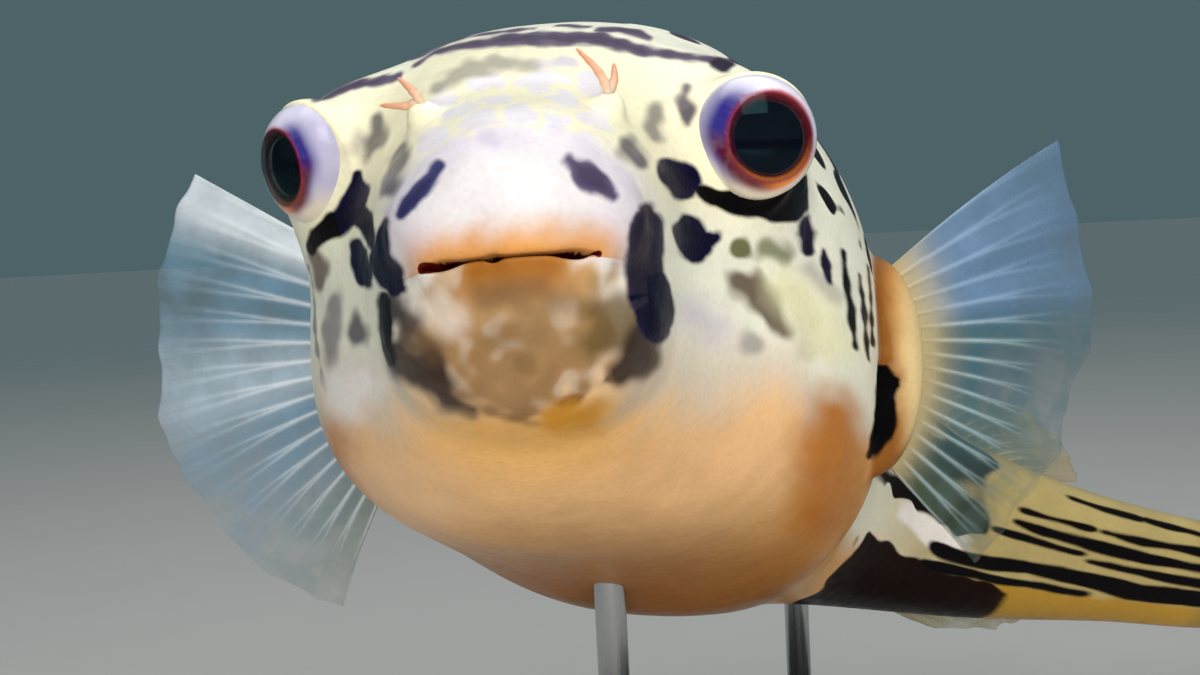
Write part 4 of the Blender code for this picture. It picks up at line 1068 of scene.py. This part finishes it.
def pupilMaterial():
    material, tree, shader = newMaterial("pupil")
    where = objectPlace(tree)
    feed(tree, shader, {
        "Base Color": mixColour(tree, noise(tree, where, 300, 2), *eyeFinish["pupil"]),
        "Roughness": ramp(tree, noise(tree, where, 600, 2), 0.3, 0.7, 0.04, 0.08),
        "Specular IOR Level": 0.0,
    })
    return material


def corneaMaterial():
    # Clear but for its reflections, which are a little teal.
    material, tree, shader = newMaterial("cornea")
    tree.nodes.remove(shader)
    clear = node(tree, "BsdfTransparent", {"Color": (0.97, 0.98, 0.99, 1)})
    shine = node(tree, "BsdfGlossy", {"Color": (0.35, 0.95, 1.0, 1), "Roughness": 0.02})
    facing = node(tree, "Fresnel", {"IOR": 1.27})
    mixed = node(tree, "MixShader", {0: facing.outputs[0], 1: clear.outputs[0], 2: shine.outputs[0]})
    feed(tree, tree.nodes["Material Output"], {"Surface": mixed.outputs[0]})
    return material


def makeEyeball(side, material):
    # The globe, its rounded edge round the iris, and the iris falling in behind it.
    eye = eyeShape[side]
    iris, pupil = eye["iris"], eye["pupil"]
    edge, lip = eyeFinish["irisEdge"], eyeFinish["irisLip"]
    outer = np.linspace(math.pi * 0.97, math.asin(iris / eyeShape["radius"]), 60)
    t = np.linspace(0.08, 1, 24)
    rho = np.concatenate([eyeShape["radius"] * np.sin(outer),
                          iris - lip * smooth(0, 0.3, t) - (iris - lip - pupil * 0.97) * t])
    limbus = float(globeSurface(iris))
    z = np.concatenate([eyeShape["halfDepth"] * np.cos(outer),
                        limbus - edge - eyeFinish["irisDepth"] * smooth(0, 1, t) ** 0.8])
    ball, local = lathe(f"eyeball_{side}", rho, z, 220, side)
    around, out = np.arctan2(local[:, 1], local[:, 0]), np.hypot(local[:, 0], local[:, 1])
    storeAttribute(ball.data, "baseTone", "FLOAT_COLOR", eyeballTone(local, eye))
    storeAttribute(ball.data, "eyePlace", "FLOAT_VECTOR", local)
    storeAttribute(ball.data, "eyeTurn", "FLOAT_VECTOR",
                   np.column_stack([np.cos(around), np.sin(around), out * 60]))
    storeAttribute(ball.data, "eyeRing", "FLOAT", out * eyeFinish["toneRadius"] / iris)
    ball.data.materials.append(material)
    settle(ball, "eye", f"eye_{side}")


def makePupil(side, material):
    eye = eyeShape[side]
    t = np.linspace(1, 0.004, 30)
    back = float(globeSurface(eye["iris"])) - eyeFinish["irisEdge"] - eyeFinish["irisDepth"] - 0.0001
    height = back + eyeFinish["lensRise"] * (1 - t**2)
    lens, _ = lathe(f"pupil_{side}", eye["pupil"] * 1.01 * t, height, 120, side)
    lens.data.materials.append(material)
    settle(lens, "eye", f"eye_{side}")


def makeCornea(side, material):
    # It carries the globe's curve on over the iris.
    outer = np.linspace(math.asin((eyeShape[side]["iris"] + 0.0003) / eyeShape["radius"]), 0.004, 40)
    cornea, _ = lathe(f"cornea_{side}", eyeShape["radius"] * np.sin(outer),
                      eyeShape["halfDepth"] * np.cos(outer) + 0.00005, 160, side)
    cornea.data.materials.append(material)
    settle(cornea, "eye", f"eye_{side}")


eyePieces = [(makeEyeball, eyeballMaterial()), (makePupil, pupilMaterial()), (makeCornea, corneaMaterial())]
for side in ("left", "right"):
    for makePiece, material in eyePieces:
        makePiece(side, material)
print("eyes done")


tentacleShape = {
    "root": (0.0155, 0.0300, 0.0315), "stalk": [(0.0, 0.0030, -0.0040), (0.0, 0.0, 0.0)],
    "left": ([(-0.0016, -0.0006, 0.0040), (-0.0051, 0.0, 0.0083)],
             [(0.0010, 0.0006, 0.0028), (0.0011, 0.0016, 0.0059)]),
    "right": ([(0.0014, -0.0004, 0.0024), (0.0038, 0.0006, 0.0050)],
              [(0.0030, 0.0008, 0.0002), (0.0072, 0.0020, 0.0008)]),
    "radii": [0.0011, 0.0009, 0.0007, 0.0003],
    "base": paint(236, 206, 176), "tip": paint(228, 158, 120), "blotch": (0.62, 0.26, 0.14),
    "sides": 20, "rings": 44, "wrinkle": 0.06,
}


def roundedPath(points, radii, count):
    # A smooth path through the points, with the radius at each step.
    points = np.array(points, float)
    points = np.vstack([2 * points[0] - points[1], points, 2 * points[-1] - points[-2]])
    t = np.linspace(0, len(points) - 3 - 1e-9, count)
    k = t.astype(int)
    f = (t - k)[:, None]
    a, b, c, d = points[k], points[k + 1], points[k + 2], points[k + 3]
    path = 0.5 * (2 * b + (c - a) * f + (2 * a - 5 * b + 4 * c - d) * f**2 + (3 * b - a - 3 * c + d) * f**3)
    return path, np.interp(t, range(len(radii)), radii)


def tubePoints(path, radii, sides):
    along = np.gradient(path, axis=0)
    along /= np.linalg.norm(along, axis=1)[:, None]
    across = np.cross(along[0], [0.0, 1.0, 0.0])
    rings = []
    for centre, direction, radius in zip(path, along, radii):
        across = across - direction * (across @ direction)
        across /= np.linalg.norm(across)
        third = np.cross(direction, across)
        turn = fullTurn(sides)[:, None]
        rings.append(centre + (across * np.cos(turn) + third * np.sin(turn)) * radius)
    return np.concatenate(rings)


def tentacleMaterial():
    material, tree, shader = newMaterial("tentacle")
    where = objectPlace(tree)
    colour = mixColour(tree, attribute(tree, "reach", "Fac"), tentacleShape["base"], tentacleShape["tip"])
    feed(tree, shader, {
        "Base Color": mixColour(tree, ramp(tree, noise(tree, where, 1500, 3), 0.4, 0.8, 0.0, 0.3), colour,
                                tentacleShape["blotch"]),
        "Roughness": ramp(tree, noise(tree, where, 900, 2), 0.3, 0.7, 0.32, 0.46),
        "Normal": bump(tree, noise(tree, where, 2200, 3), 0.3, 0.0001),
        "Subsurface Weight": 0.3, "Subsurface Radius": (1.0, 0.4, 0.25), "Subsurface Scale": 0.001,
    })
    return material


def makeTentacle(side, sign, material):
    # Two prongs on one stalk.
    points, quads, reach = [], [], []
    sides, count = tentacleShape["sides"], tentacleShape["rings"]
    t = np.linspace(0, 1, count)
    for prong in tentacleShape[side]:
        steps = np.array(tentacleShape["stalk"] + prong) + tentacleShape["root"]
        path, radii = roundedPath(steps * (sign, 1, 1), tentacleShape["radii"], count)
        tip = np.sqrt(np.clip((1.001 - t) * 14, 0, 1))
        radii = radii * (1 + tentacleShape["wrinkle"] * np.sin(t * 41)) * tip
        quads.append(ringQuads(count, sides) + len(points) * count * sides)
        points.append(tubePoints(path, radii, sides))
        reach.append(np.repeat(smooth(0.25, 1.0, t), sides))
    points = bendSpine(np.concatenate(points), tentacleShape["root"][1])
    piece = addMesh(f"nasal_tentacle_{side}_skin", points, np.concatenate(quads))
    storeAttribute(piece.data, "reach", "FLOAT", np.concatenate(reach))
    piece.data.materials.append(material)
    settle(piece, "tentacle", f"nasal_tentacle_{side}")


tentacleFinish = tentacleMaterial()
for side, sign in (("left", 1), ("right", -1)):
    makeTentacle(side, sign, tentacleFinish)
print("nostril tentacles done")


# Fins: u runs from the leading ray to the last one, and v from the root out to the edge.
pectoralShape = {
    "station": 0.140, "rootX": 0.0595, "rootBulge": 0.0065, "rootY": 0.142, "rootZ": (0.0185, -0.0245),
    "rays": 17, "lengths": [0.067, 0.064, 0.060, 0.052, 0.041], "tipBend": 12.0,
    "left": {"sign": 1, "fan": (49.0, -50.0), "sweep": [22, 36, 46, 46, 42]},
    "right": {"sign": -1, "fan": (28.0, -63.0), "sweep": [-22, -18, -12, -4, 4]},
    "thickness": 0.0009, "rayHeight": 0.00035,
}
dorsalShape = {"roots": (0.280, 0.320), "angles": (50.0, 14.0), "swing": 48.0, "rays": 12,
               "lengths": [0.034, 0.046, 0.045, 0.036, 0.024], "thickness": 0.0012, "rayHeight": 0.0004}
analShape = {"roots": (0.280, 0.314), "angles": (-22.0, -7.0), "swing": 45.0, "rays": 11,
             "lengths": [0.020, 0.028, 0.029, 0.026, 0.019], "thickness": 0.0012, "rayHeight": 0.0004}
tailShape = {"halfRoot": 0.0160, "spread": 8.5, "rays": 10, "lengths": [0.080, 0.096, 0.100, 0.096, 0.080],
             "thickness": 0.0030, "rayHeight": 0.0006}
finRootDepth = 0.006              # how deep the fins on the midline are set into the flesh
raySpread = {"fork": 0.17, "twig": 0.075, "halfWidth": 0.13, "narrowing": 0.075}   # in spaces between rays
webShape = {"unevenTips": 0.010, "scallop": 0.007, "ripple": 1.6, "rippleAcross": 19, "rippleOut": 2.0}


def curveAt(values, u):
    return np.interp(u, np.linspace(0, 1, len(values)), values)


def rayStrength(u, v, rays):
    # 1 on a bony ray and 0 between: each ray forks once half way out and again near the edge.
    place = u * (rays - 1)
    beside = place - np.round(place)
    fork = raySpread["fork"] * smooth(0.30, 0.75, v)
    twig = raySpread["twig"] * smooth(0.62, 0.95, v)
    halfWidth = raySpread["halfWidth"] - raySpread["narrowing"] * smooth(0.1, 0.9, v)
    strength = np.zeros(np.broadcast(u, v).shape)
    for first in (-1, 1):
        for second in (-1, 1):
            away = beside - first * fork - second * twig
            strength = np.maximum(strength, np.exp(-(away / halfWidth) ** 2))
    return strength


def finSheet(shape, midpoint, seed, perRay=14, rows=90, wave=0.0006):
    # A closed thin sheet with a raised bony ray along every spoke and a soft uneven margin.
    rays = shape["rays"]
    u = np.linspace(0, 1, (rays - 1) * perRay + 1)[:, None]
    v = np.linspace(0, 1, rows)[None, :]
    rng = np.random.default_rng(seed)
    tips = 1 + webShape["unevenTips"] * rng.uniform(-1, 1, rays)
    tips = np.interp(u[:, 0], np.linspace(0, 1, rays), tips)
    scallop = 1 - webShape["scallop"] * np.sin(math.pi * u[:, 0] * (rays - 1)) ** 2
    reach = v * (tips * scallop)[:, None] ** smooth(0.3, 1.0, v)
    middle = midpoint(u + 0 * v, reach)
    across, along = np.gradient(middle, axis=0), np.gradient(middle, axis=1)
    normal = np.cross(across, along)
    normal /= np.linalg.norm(normal, axis=2)[:, :, None]
    strength = rayStrength(u, v, rays)
    pleat = np.cos(math.pi * u * (rays - 1)) * wave * smooth(0.05, 0.5, v)
    turn = u * webShape["rippleAcross"] + v * webShape["rippleOut"]
    ripple = wave * webShape["ripple"] * np.sin(turn) * v**1.5
    middle = middle + normal * (pleat + ripple)[:, :, None]
    half = shape["thickness"] * (1 - 0.72 * smooth(0.0, 0.7, v)) / 2
    half = (half + shape["rayHeight"] * strength * (1 - 0.75 * v)) * (1 - 0.6 * smooth(0.94, 1.0, v))
    columns, sheet = len(u), len(u) * rows
    points = np.concatenate([(middle + normal * half[:, :, None]).reshape(-1, 3),
                             (middle - normal * half[:, :, None]).reshape(-1, 3)])
    i, j = np.meshgrid(np.arange(columns - 1), np.arange(rows - 1), indexing="ij")
    a = (i * rows + j).ravel()
    quads = np.stack([a, a + rows, a + rows + 1, a + 1], axis=1)
    rim = np.concatenate([np.arange(columns) * rows, (columns - 1) * rows + np.arange(1, rows),
                          np.arange(columns - 2, -1, -1) * rows + rows - 1, np.arange(rows - 2, 0, -1)])
    after = np.roll(rim, -1)
    edge = np.stack([after, rim, rim + sheet, after + sheet], axis=1)
    quads = np.concatenate([quads, quads[:, ::-1] + sheet, edge])
    grid = np.stack([u + 0 * v, v + 0 * u, strength], axis=2).reshape(-1, 3)
    return points, quads, np.tile(grid, (2, 1))


# Colours of each fin. "solid" is how solid it is at the root and at the edge. "lead" is how far the leading
# edge turns to the colour of the rays, and how much more solid it is there. "pale" is a paler band of rays.
finFinish = {
    "leftWeb": {"web": paint(52, 100, 114), "ray": paint(176, 198, 202), "root": paint(184, 164, 116),
                "low": paint(96, 110, 82), "solid": (0.55, 0.12), "lead": (0.20, 0.05),
                "pale": {"span": (-0.1, 0.30), "tone": paint(118, 150, 190), "share": 0.75, "solid": 0.25}},
    "rightWeb": {"web": paint(112, 150, 176), "ray": paint(226, 234, 240), "root": paint(184, 164, 116),
                 "low": paint(96, 110, 82), "solid": (0.52, 0.14), "lead": (0.95, 0.50),
                 "pale": {"span": (0.30, 0.50), "tone": paint(226, 234, 240), "share": 0.45,
                          "solid": 0.25}},
    "medianWeb": {"web": paint(150, 144, 106), "ray": paint(190, 182, 144), "root": paint(156, 134, 78),
                  "low": paint(160, 140, 90), "solid": (0.70, 0.38), "lead": (0.75, 0.40)},
    "tailWeb": {"web": paint(150, 126, 70), "ray": paint(190, 166, 106), "root": paint(156, 134, 78),
                "low": paint(150, 116, 60), "solid": (0.95, 0.85), "lead": (0.75, 0.40)},
}


def finBand(tree, u, span):
    # 1 between two places along the fin's edge.
    blur = 0.06
    first, last = span
    return times(tree, ramp(tree, u, first - blur, first + blur), ramp(tree, u, last + blur, last - blur))


def finColour(tree, finish, place, cloudy, band):
    u, v, strength = place
    milky = np.minimum(finish["web"] * 1.5, 1)
    web = mixColour(tree, ramp(tree, plus(tree, u, times(tree, cloudy, 0.3)), 0.75, 1.15), finish["web"],
                    finish["low"])
    web = mixColour(tree, ramp(tree, cloudy, 0.35, 0.7, 0.0, 0.35), web, milky)
    onRay = times(tree, strength, ramp(tree, v, 0.25, 0.85, 0.9, 0.12))
    colour = mixColour(tree, onRay, web, finish["ray"])
    colour = mixColour(tree, ramp(tree, u, 0.15, 0.05, 0.0, finish["lead"][0]), colour, finish["ray"])
    if band is not None:
        colour = mixColour(tree, times(tree, band, finish["pale"]["share"]), colour, finish["pale"]["tone"])
    return mixColour(tree, ramp(tree, v, 0.30, 0.0), colour, finish["root"])


def finSolidity(tree, finish, place, cloudy, band):
    u, v, strength = place
    solid = plus(tree, ramp(tree, v, 0.0, 1.0, *finish["solid"]),
                 times(tree, strength, ramp(tree, v, 0.3, 1.0, 0.35, 0.06)))
    solid = plus(tree, solid, ramp(tree, u, 0.15, 0.05, 0.0, finish["lead"][1]))
    if band is not None:
        solid = plus(tree, solid, times(tree, band, finish["pale"]["solid"]))
    solid = plus(tree, solid, ramp(tree, cloudy, 0.35, 0.65, -0.10, 0.12))
    return calculate(tree, "MINIMUM", plus(tree, solid, ramp(tree, v, 0.22, 0.0, 0.0, 0.6)), 1.0)


def finMaterial(name):
    material, tree, shader = newMaterial(name)
    finish = finFinish[name]
    place = node(tree, "SeparateXYZ", {0: attribute(tree, "finPlace", "Vector")}).outputs
    u, v, strength = place
    where = objectPlace(tree)
    cloudy = noise(tree, where, 90, 3)
    band = finBand(tree, u, finish["pale"]["span"]) if "pale" in finish else None
    # Each ray is ringed by fine joints.
    outward = node(tree, "CombineXYZ", {0: v}).outputs[0]
    rings = node(tree, "TexWave", {"Vector": outward, "Scale": 13.0, "Distortion": 0.4}, wave_type="BANDS",
                 bands_direction="X")
    normal = bump(tree, times(tree, rings.outputs["Fac"], strength), 0.25, 0.0001)
    feed(tree, shader, {
        "Base Color": finColour(tree, finish, place, cloudy, band),
        "Alpha": finSolidity(tree, finish, place, cloudy, band),
        "Roughness": ramp(tree, noise(tree, where, 400, 2), 0.3, 0.7, 0.22, 0.36),
        "Normal": bump(tree, noise(tree, where, 500, 3), 0.2, 0.0002, normal),
        "Coat Weight": 0.3, "Coat Roughness": 0.12,
    })
    return material


def addFin(name, sheet, material, station=None):
    points, quads, place = sheet
    fin = addMesh(name + "_web", bendSpine(points, station), quads)
    storeAttribute(fin.data, "finPlace", "FLOAT_VECTOR", place)
    fin.data.materials.append(material)
    settle(fin, "fin_membrane", name)


def makePectoral(side):
    shape, own = pectoralShape, pectoralShape[side]
    first, last = own["fan"]
    top, bottom = shape["rootZ"]

    def midpoint(u, v):
        rise = np.radians(first + (last - first) * u)
        sweep = np.radians(curveAt(own["sweep"], u) + shape["tipBend"] * v)
        reach = curveAt(shape["lengths"], u) * v
        x = shape["rootX"] + shape["rootBulge"] * np.sin(math.pi * u) + np.cos(rise) * np.cos(sweep) * reach
        y = shape["rootY"] + 0.002 * u + np.sin(sweep) * reach
        z = top + (bottom - top) * u + np.sin(rise) * np.cos(sweep) * reach
        return np.stack([x * own["sign"], y, z], axis=2)

    sheet = finSheet(shape, midpoint, 21 + own["sign"])
    addFin(f"pectoral_fin_{side}", sheet, finMaterial(f"{side}Web"), shape["station"])


def makeMedianFin(name, shape, table, material):
    up = math.copysign(1.0, shape["angles"][0])
    first, last = shape["angles"]
    front, back = shape["roots"]

    def midpoint(u, v):
        y = front + (back - front) * u
        lean = np.radians(first + (last - first) * u) * (1 - 0.18 * v)
        reach = (curveAt(shape["lengths"], u) + finRootDepth) * v
        z = up * (sizeAt(y, table) - finRootDepth)
        swing = math.radians(shape["swing"]) * smooth(0.0, 0.7, v)
        rise = np.sin(lean) * reach
        x = -np.abs(rise) * np.sin(swing)
        return np.stack([x, y + np.cos(lean) * reach, z + rise * np.cos(swing)], axis=2)

    addFin(name, finSheet(shape, midpoint, 5, perRay=12, rows=70, wave=0.0004), material)


def makeTailFin():
    shape = tailShape

    def midpoint(u, v):
        lean = np.radians(shape["spread"] * (1 - 2 * u)) * (1 - 0.18 * v)
        reach = curveAt(shape["lengths"], u) * v
        return np.stack([0 * u, fishShape["standardLength"] - 0.002 + np.cos(lean) * reach,
                         shape["halfRoot"] * (1 - 2 * u) + np.sin(lean) * reach], axis=2)

    addFin("tail_fin", finSheet(shape, midpoint, 9, rows=120, wave=0.0004), finMaterial("tailWeb"))


makePectoral("left")
makePectoral("right")
medianFinish = finMaterial("medianWeb")
makeMedianFin("dorsal_fin", dorsalShape, fineBack, medianFinish)
makeMedianFin("anal_fin", analShape, fineBelly, medianFinish)
makeTailFin()
print("fins done")


standFinish = {
    "charcoal": ((0.030, 0.032, 0.036), (0.050, 0.053, 0.058)), "charcoalRoughness": (0.38, 0.52),
    "steel": ((0.42, 0.43, 0.44), (0.62, 0.63, 0.64)), "steelRoughness": (0.22, 0.38),
    "brushing": (1600, 1600, 25),  # fine across the rod, long down it
}


def charcoalMaterial():
    material, tree, shader = newMaterial("satinCharcoal")
    where = objectPlace(tree)
    feed(tree, shader, {
        "Base Color": mixColour(tree, noise(tree, where, 60, 4), *standFinish["charcoal"]),
        "Roughness": ramp(tree, noise(tree, where, 220, 3), 0.3, 0.7, *standFinish["charcoalRoughness"]),
        "Normal": bump(tree, noise(tree, where, 1800, 2), 0.25, 0.0001),
    })
    return material


def steelMaterial():
    material, tree, shader = newMaterial("brushedSteel")
    lengthwise = node(tree, "Mapping", {"Vector": objectPlace(tree), "Scale": standFinish["brushing"]})
    brushed = noise(tree, lengthwise.outputs[0], 1.0, 3)
    feed(tree, shader, {
        "Base Color": mixColour(tree, brushed, *standFinish["steel"]),
        "Roughness": ramp(tree, brushed, 0.3, 0.7, *standFinish["steelRoughness"]),
        "Normal": bump(tree, brushed, 0.15, 0.00005), "Metallic": 1.0,
    })
    return material


standShape = {"half": (0.105, 0.095), "height": 0.016, "power": 3.2, "bevel": 0.0022, "rodBevel": 0.0003}


def capPoints(outline, heights, insets):
    # Rings of one outline at each height, drawn in towards the middle by each inset.
    size = np.abs(outline).max(axis=0)
    return np.concatenate([np.column_stack([outline * (1 - inset / size), np.full(len(outline), height)])
                           for height, inset in zip(heights, insets)])


def closedPost(name, outline, foot, height, bevel, centre, material):
    # An upright solid of any outline with a rounded rim, closed at both ends.
    count = len(outline)
    turn = np.radians(np.linspace(0, 90, 7))
    heights = np.concatenate([[foot], height - bevel + bevel * np.sin(turn)])
    insets = np.concatenate([[0.0], bevel * (1 - np.cos(turn))])
    points = capPoints(outline, heights, insets)
    points = np.concatenate([points, [[0, 0, foot], [0, 0, height]]]) + (*centre, 0.0)
    ends = endFans(len(heights), count, len(points) - 2)
    made = addMesh(name + "_finish", points, ringQuads(len(heights), count), ends)
    made.data.materials.append(material)
    settle(made, name.replace("_front", "").replace("_rear", ""), name)


def makeStand():
    turn = fullTurn(240)
    around = np.column_stack([np.cos(turn), np.sin(turn)])
    grow = (np.abs(around) ** standShape["power"]).sum(axis=1) ** (-1 / standShape["power"])
    closedPost("stand_base", around * grow[:, None] * standShape["half"], 0.0, standShape["height"],
               standShape["bevel"], (0, 0), charcoalMaterial())
    steel = steelMaterial()
    for name in ("stand_rod_front", "stand_rod_rear"):
        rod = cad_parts[name]             # the rods keep the size and place of the solids
        corners = np.array([rod.matrix_world @ v.co for v in rod.data.vertices])
        low, high = corners.min(axis=0), corners.max(axis=0)
        closedPost(name, around[::5] * (high[0] - low[0]) / 2, low[2], high[2], standShape["rodBevel"],
                   (low[:2] + high[:2]) / 2, steel)


makeStand()
print("stand dressed")


cameraShape = {"fromSnout": (0.012, -0.215, 0.004), "tilt": 4.0, "roll": 2.9, "lens": 45.0, "sensor": 36.0}


def cameraMatrix():
    # Looks along +Y, tilted down and rolled a little, from just in front of the snout.
    tilt, roll = math.radians(cameraShape["tilt"]), math.radians(cameraShape["roll"])
    forward = Vector((0, math.cos(tilt), -math.sin(tilt)))
    right = Vector((1, 0, 0))
    up = right.cross(forward)
    rolledRight = right * math.cos(roll) - up * math.sin(roll)
    rolledUp = right * math.sin(roll) + up * math.cos(roll)
    matrix = Matrix((rolledRight, rolledUp, -forward)).transposed().to_4x4()
    matrix.translation = Vector(fishShape["snoutAt"]) + Vector(cameraShape["fromSnout"])
    return matrix


studio = {
    "key": {"at": (0.10, -0.56, 0.76), "size": 0.42, "power": 1.5, "colour": (1.0, 0.98, 0.95)},
    "fill": {"at": (0.05, -0.95, 0.06), "size": 0.60, "power": 8.5, "colour": (1.0, 0.97, 0.92)},
    "top": {"at": (0.05, 0.05, 1.0), "size": 0.9, "power": 4.0, "colour": (0.96, 0.98, 1.0)},
    "front": (0.95, 0.93, 0.89), "backdrop": (0.15, 0.25, 0.27), "sky": (0.72, 0.78, 0.80), "strength": 0.5,
    "floorNear": (0.50, 0.49, 0.47), "floorFar": (0.26, 0.35, 0.37), "aim": (0.0, -0.04, 0.16),
    "floorRadii": (0.6, 2.0, 6.0, 18.0),
}


def areaLight(name, at, size, power, colour):
    lamp = bpy.data.lights.new(name, "AREA")
    lamp.shape, lamp.size, lamp.energy, lamp.color = "SQUARE", size, power, colour
    placed = bpy.data.objects.new(name, lamp)
    bpy.context.scene.collection.objects.link(placed)
    placed.location = at
    placed.rotation_euler = (Vector(studio["aim"]) - placed.location).to_track_quat("-Z", "Y").to_euler()
    placed.visible_glossy = name != "fill"         # the fill would show in the eyes as a second window


def makeWorld():
    world = bpy.data.worlds.new("studio")
    bpy.context.scene.world = world
    world.use_nodes = True
    tree = world.node_tree
    _, back, up = node(tree, "SeparateXYZ", {0: node(tree, "TexCoord").outputs["Generated"]}).outputs
    around = mixColour(tree, ramp(tree, back, -0.7, 0.3), studio["front"], studio["backdrop"])
    colour = mixColour(tree, ramp(tree, up, 0.15, 0.75), around, studio["sky"])
    feed(tree, tree.nodes["Background"], {0: colour, 1: studio["strength"]})


def makeFloor():
    # A wide round floor that darkens to meet the backdrop.
    columns, radii = 96, studio["floorRadii"]
    points = [(r * math.cos(t), r * math.sin(t), 0.0) for r in radii for t in fullTurn(columns)]
    centre = [(j, (j + 1) % columns, columns * len(radii)) for j in range(columns)]
    floor = addMesh("floor", points + [(0.0, 0.0, 0.0)], ringQuads(len(radii), columns)[:, ::-1], centre)
    material, tree, shader = newMaterial("paleFloor")
    where = objectPlace(tree)
    away = node(tree, "VectorMath", {0: where}, operation="LENGTH").outputs["Value"]
    feed(tree, shader, {
        "Base Color": mixColour(tree, ramp(tree, away, 0.35, 2.6), studio["floorNear"], studio["floorFar"]),
        "Roughness": ramp(tree, noise(tree, where, 30, 2), 0.3, 0.7, 0.6, 0.7),
    })
    floor.data.materials.append(material)


for name in ("key", "fill", "top"):
    areaLight(name, **studio[name])
makeWorld()
makeFloor()

camera = bpy.data.cameras.new("camera")
camera.lens, camera.sensor_width = cameraShape["lens"], cameraShape["sensor"]
cameraObject = bpy.data.objects.new("camera", camera)
bpy.context.scene.collection.objects.link(cameraObject)
cameraObject.matrix_world = cameraMatrix()
bpy.context.scene.camera = cameraObject
bpy.context.scene.view_settings.view_transform = "Standard"
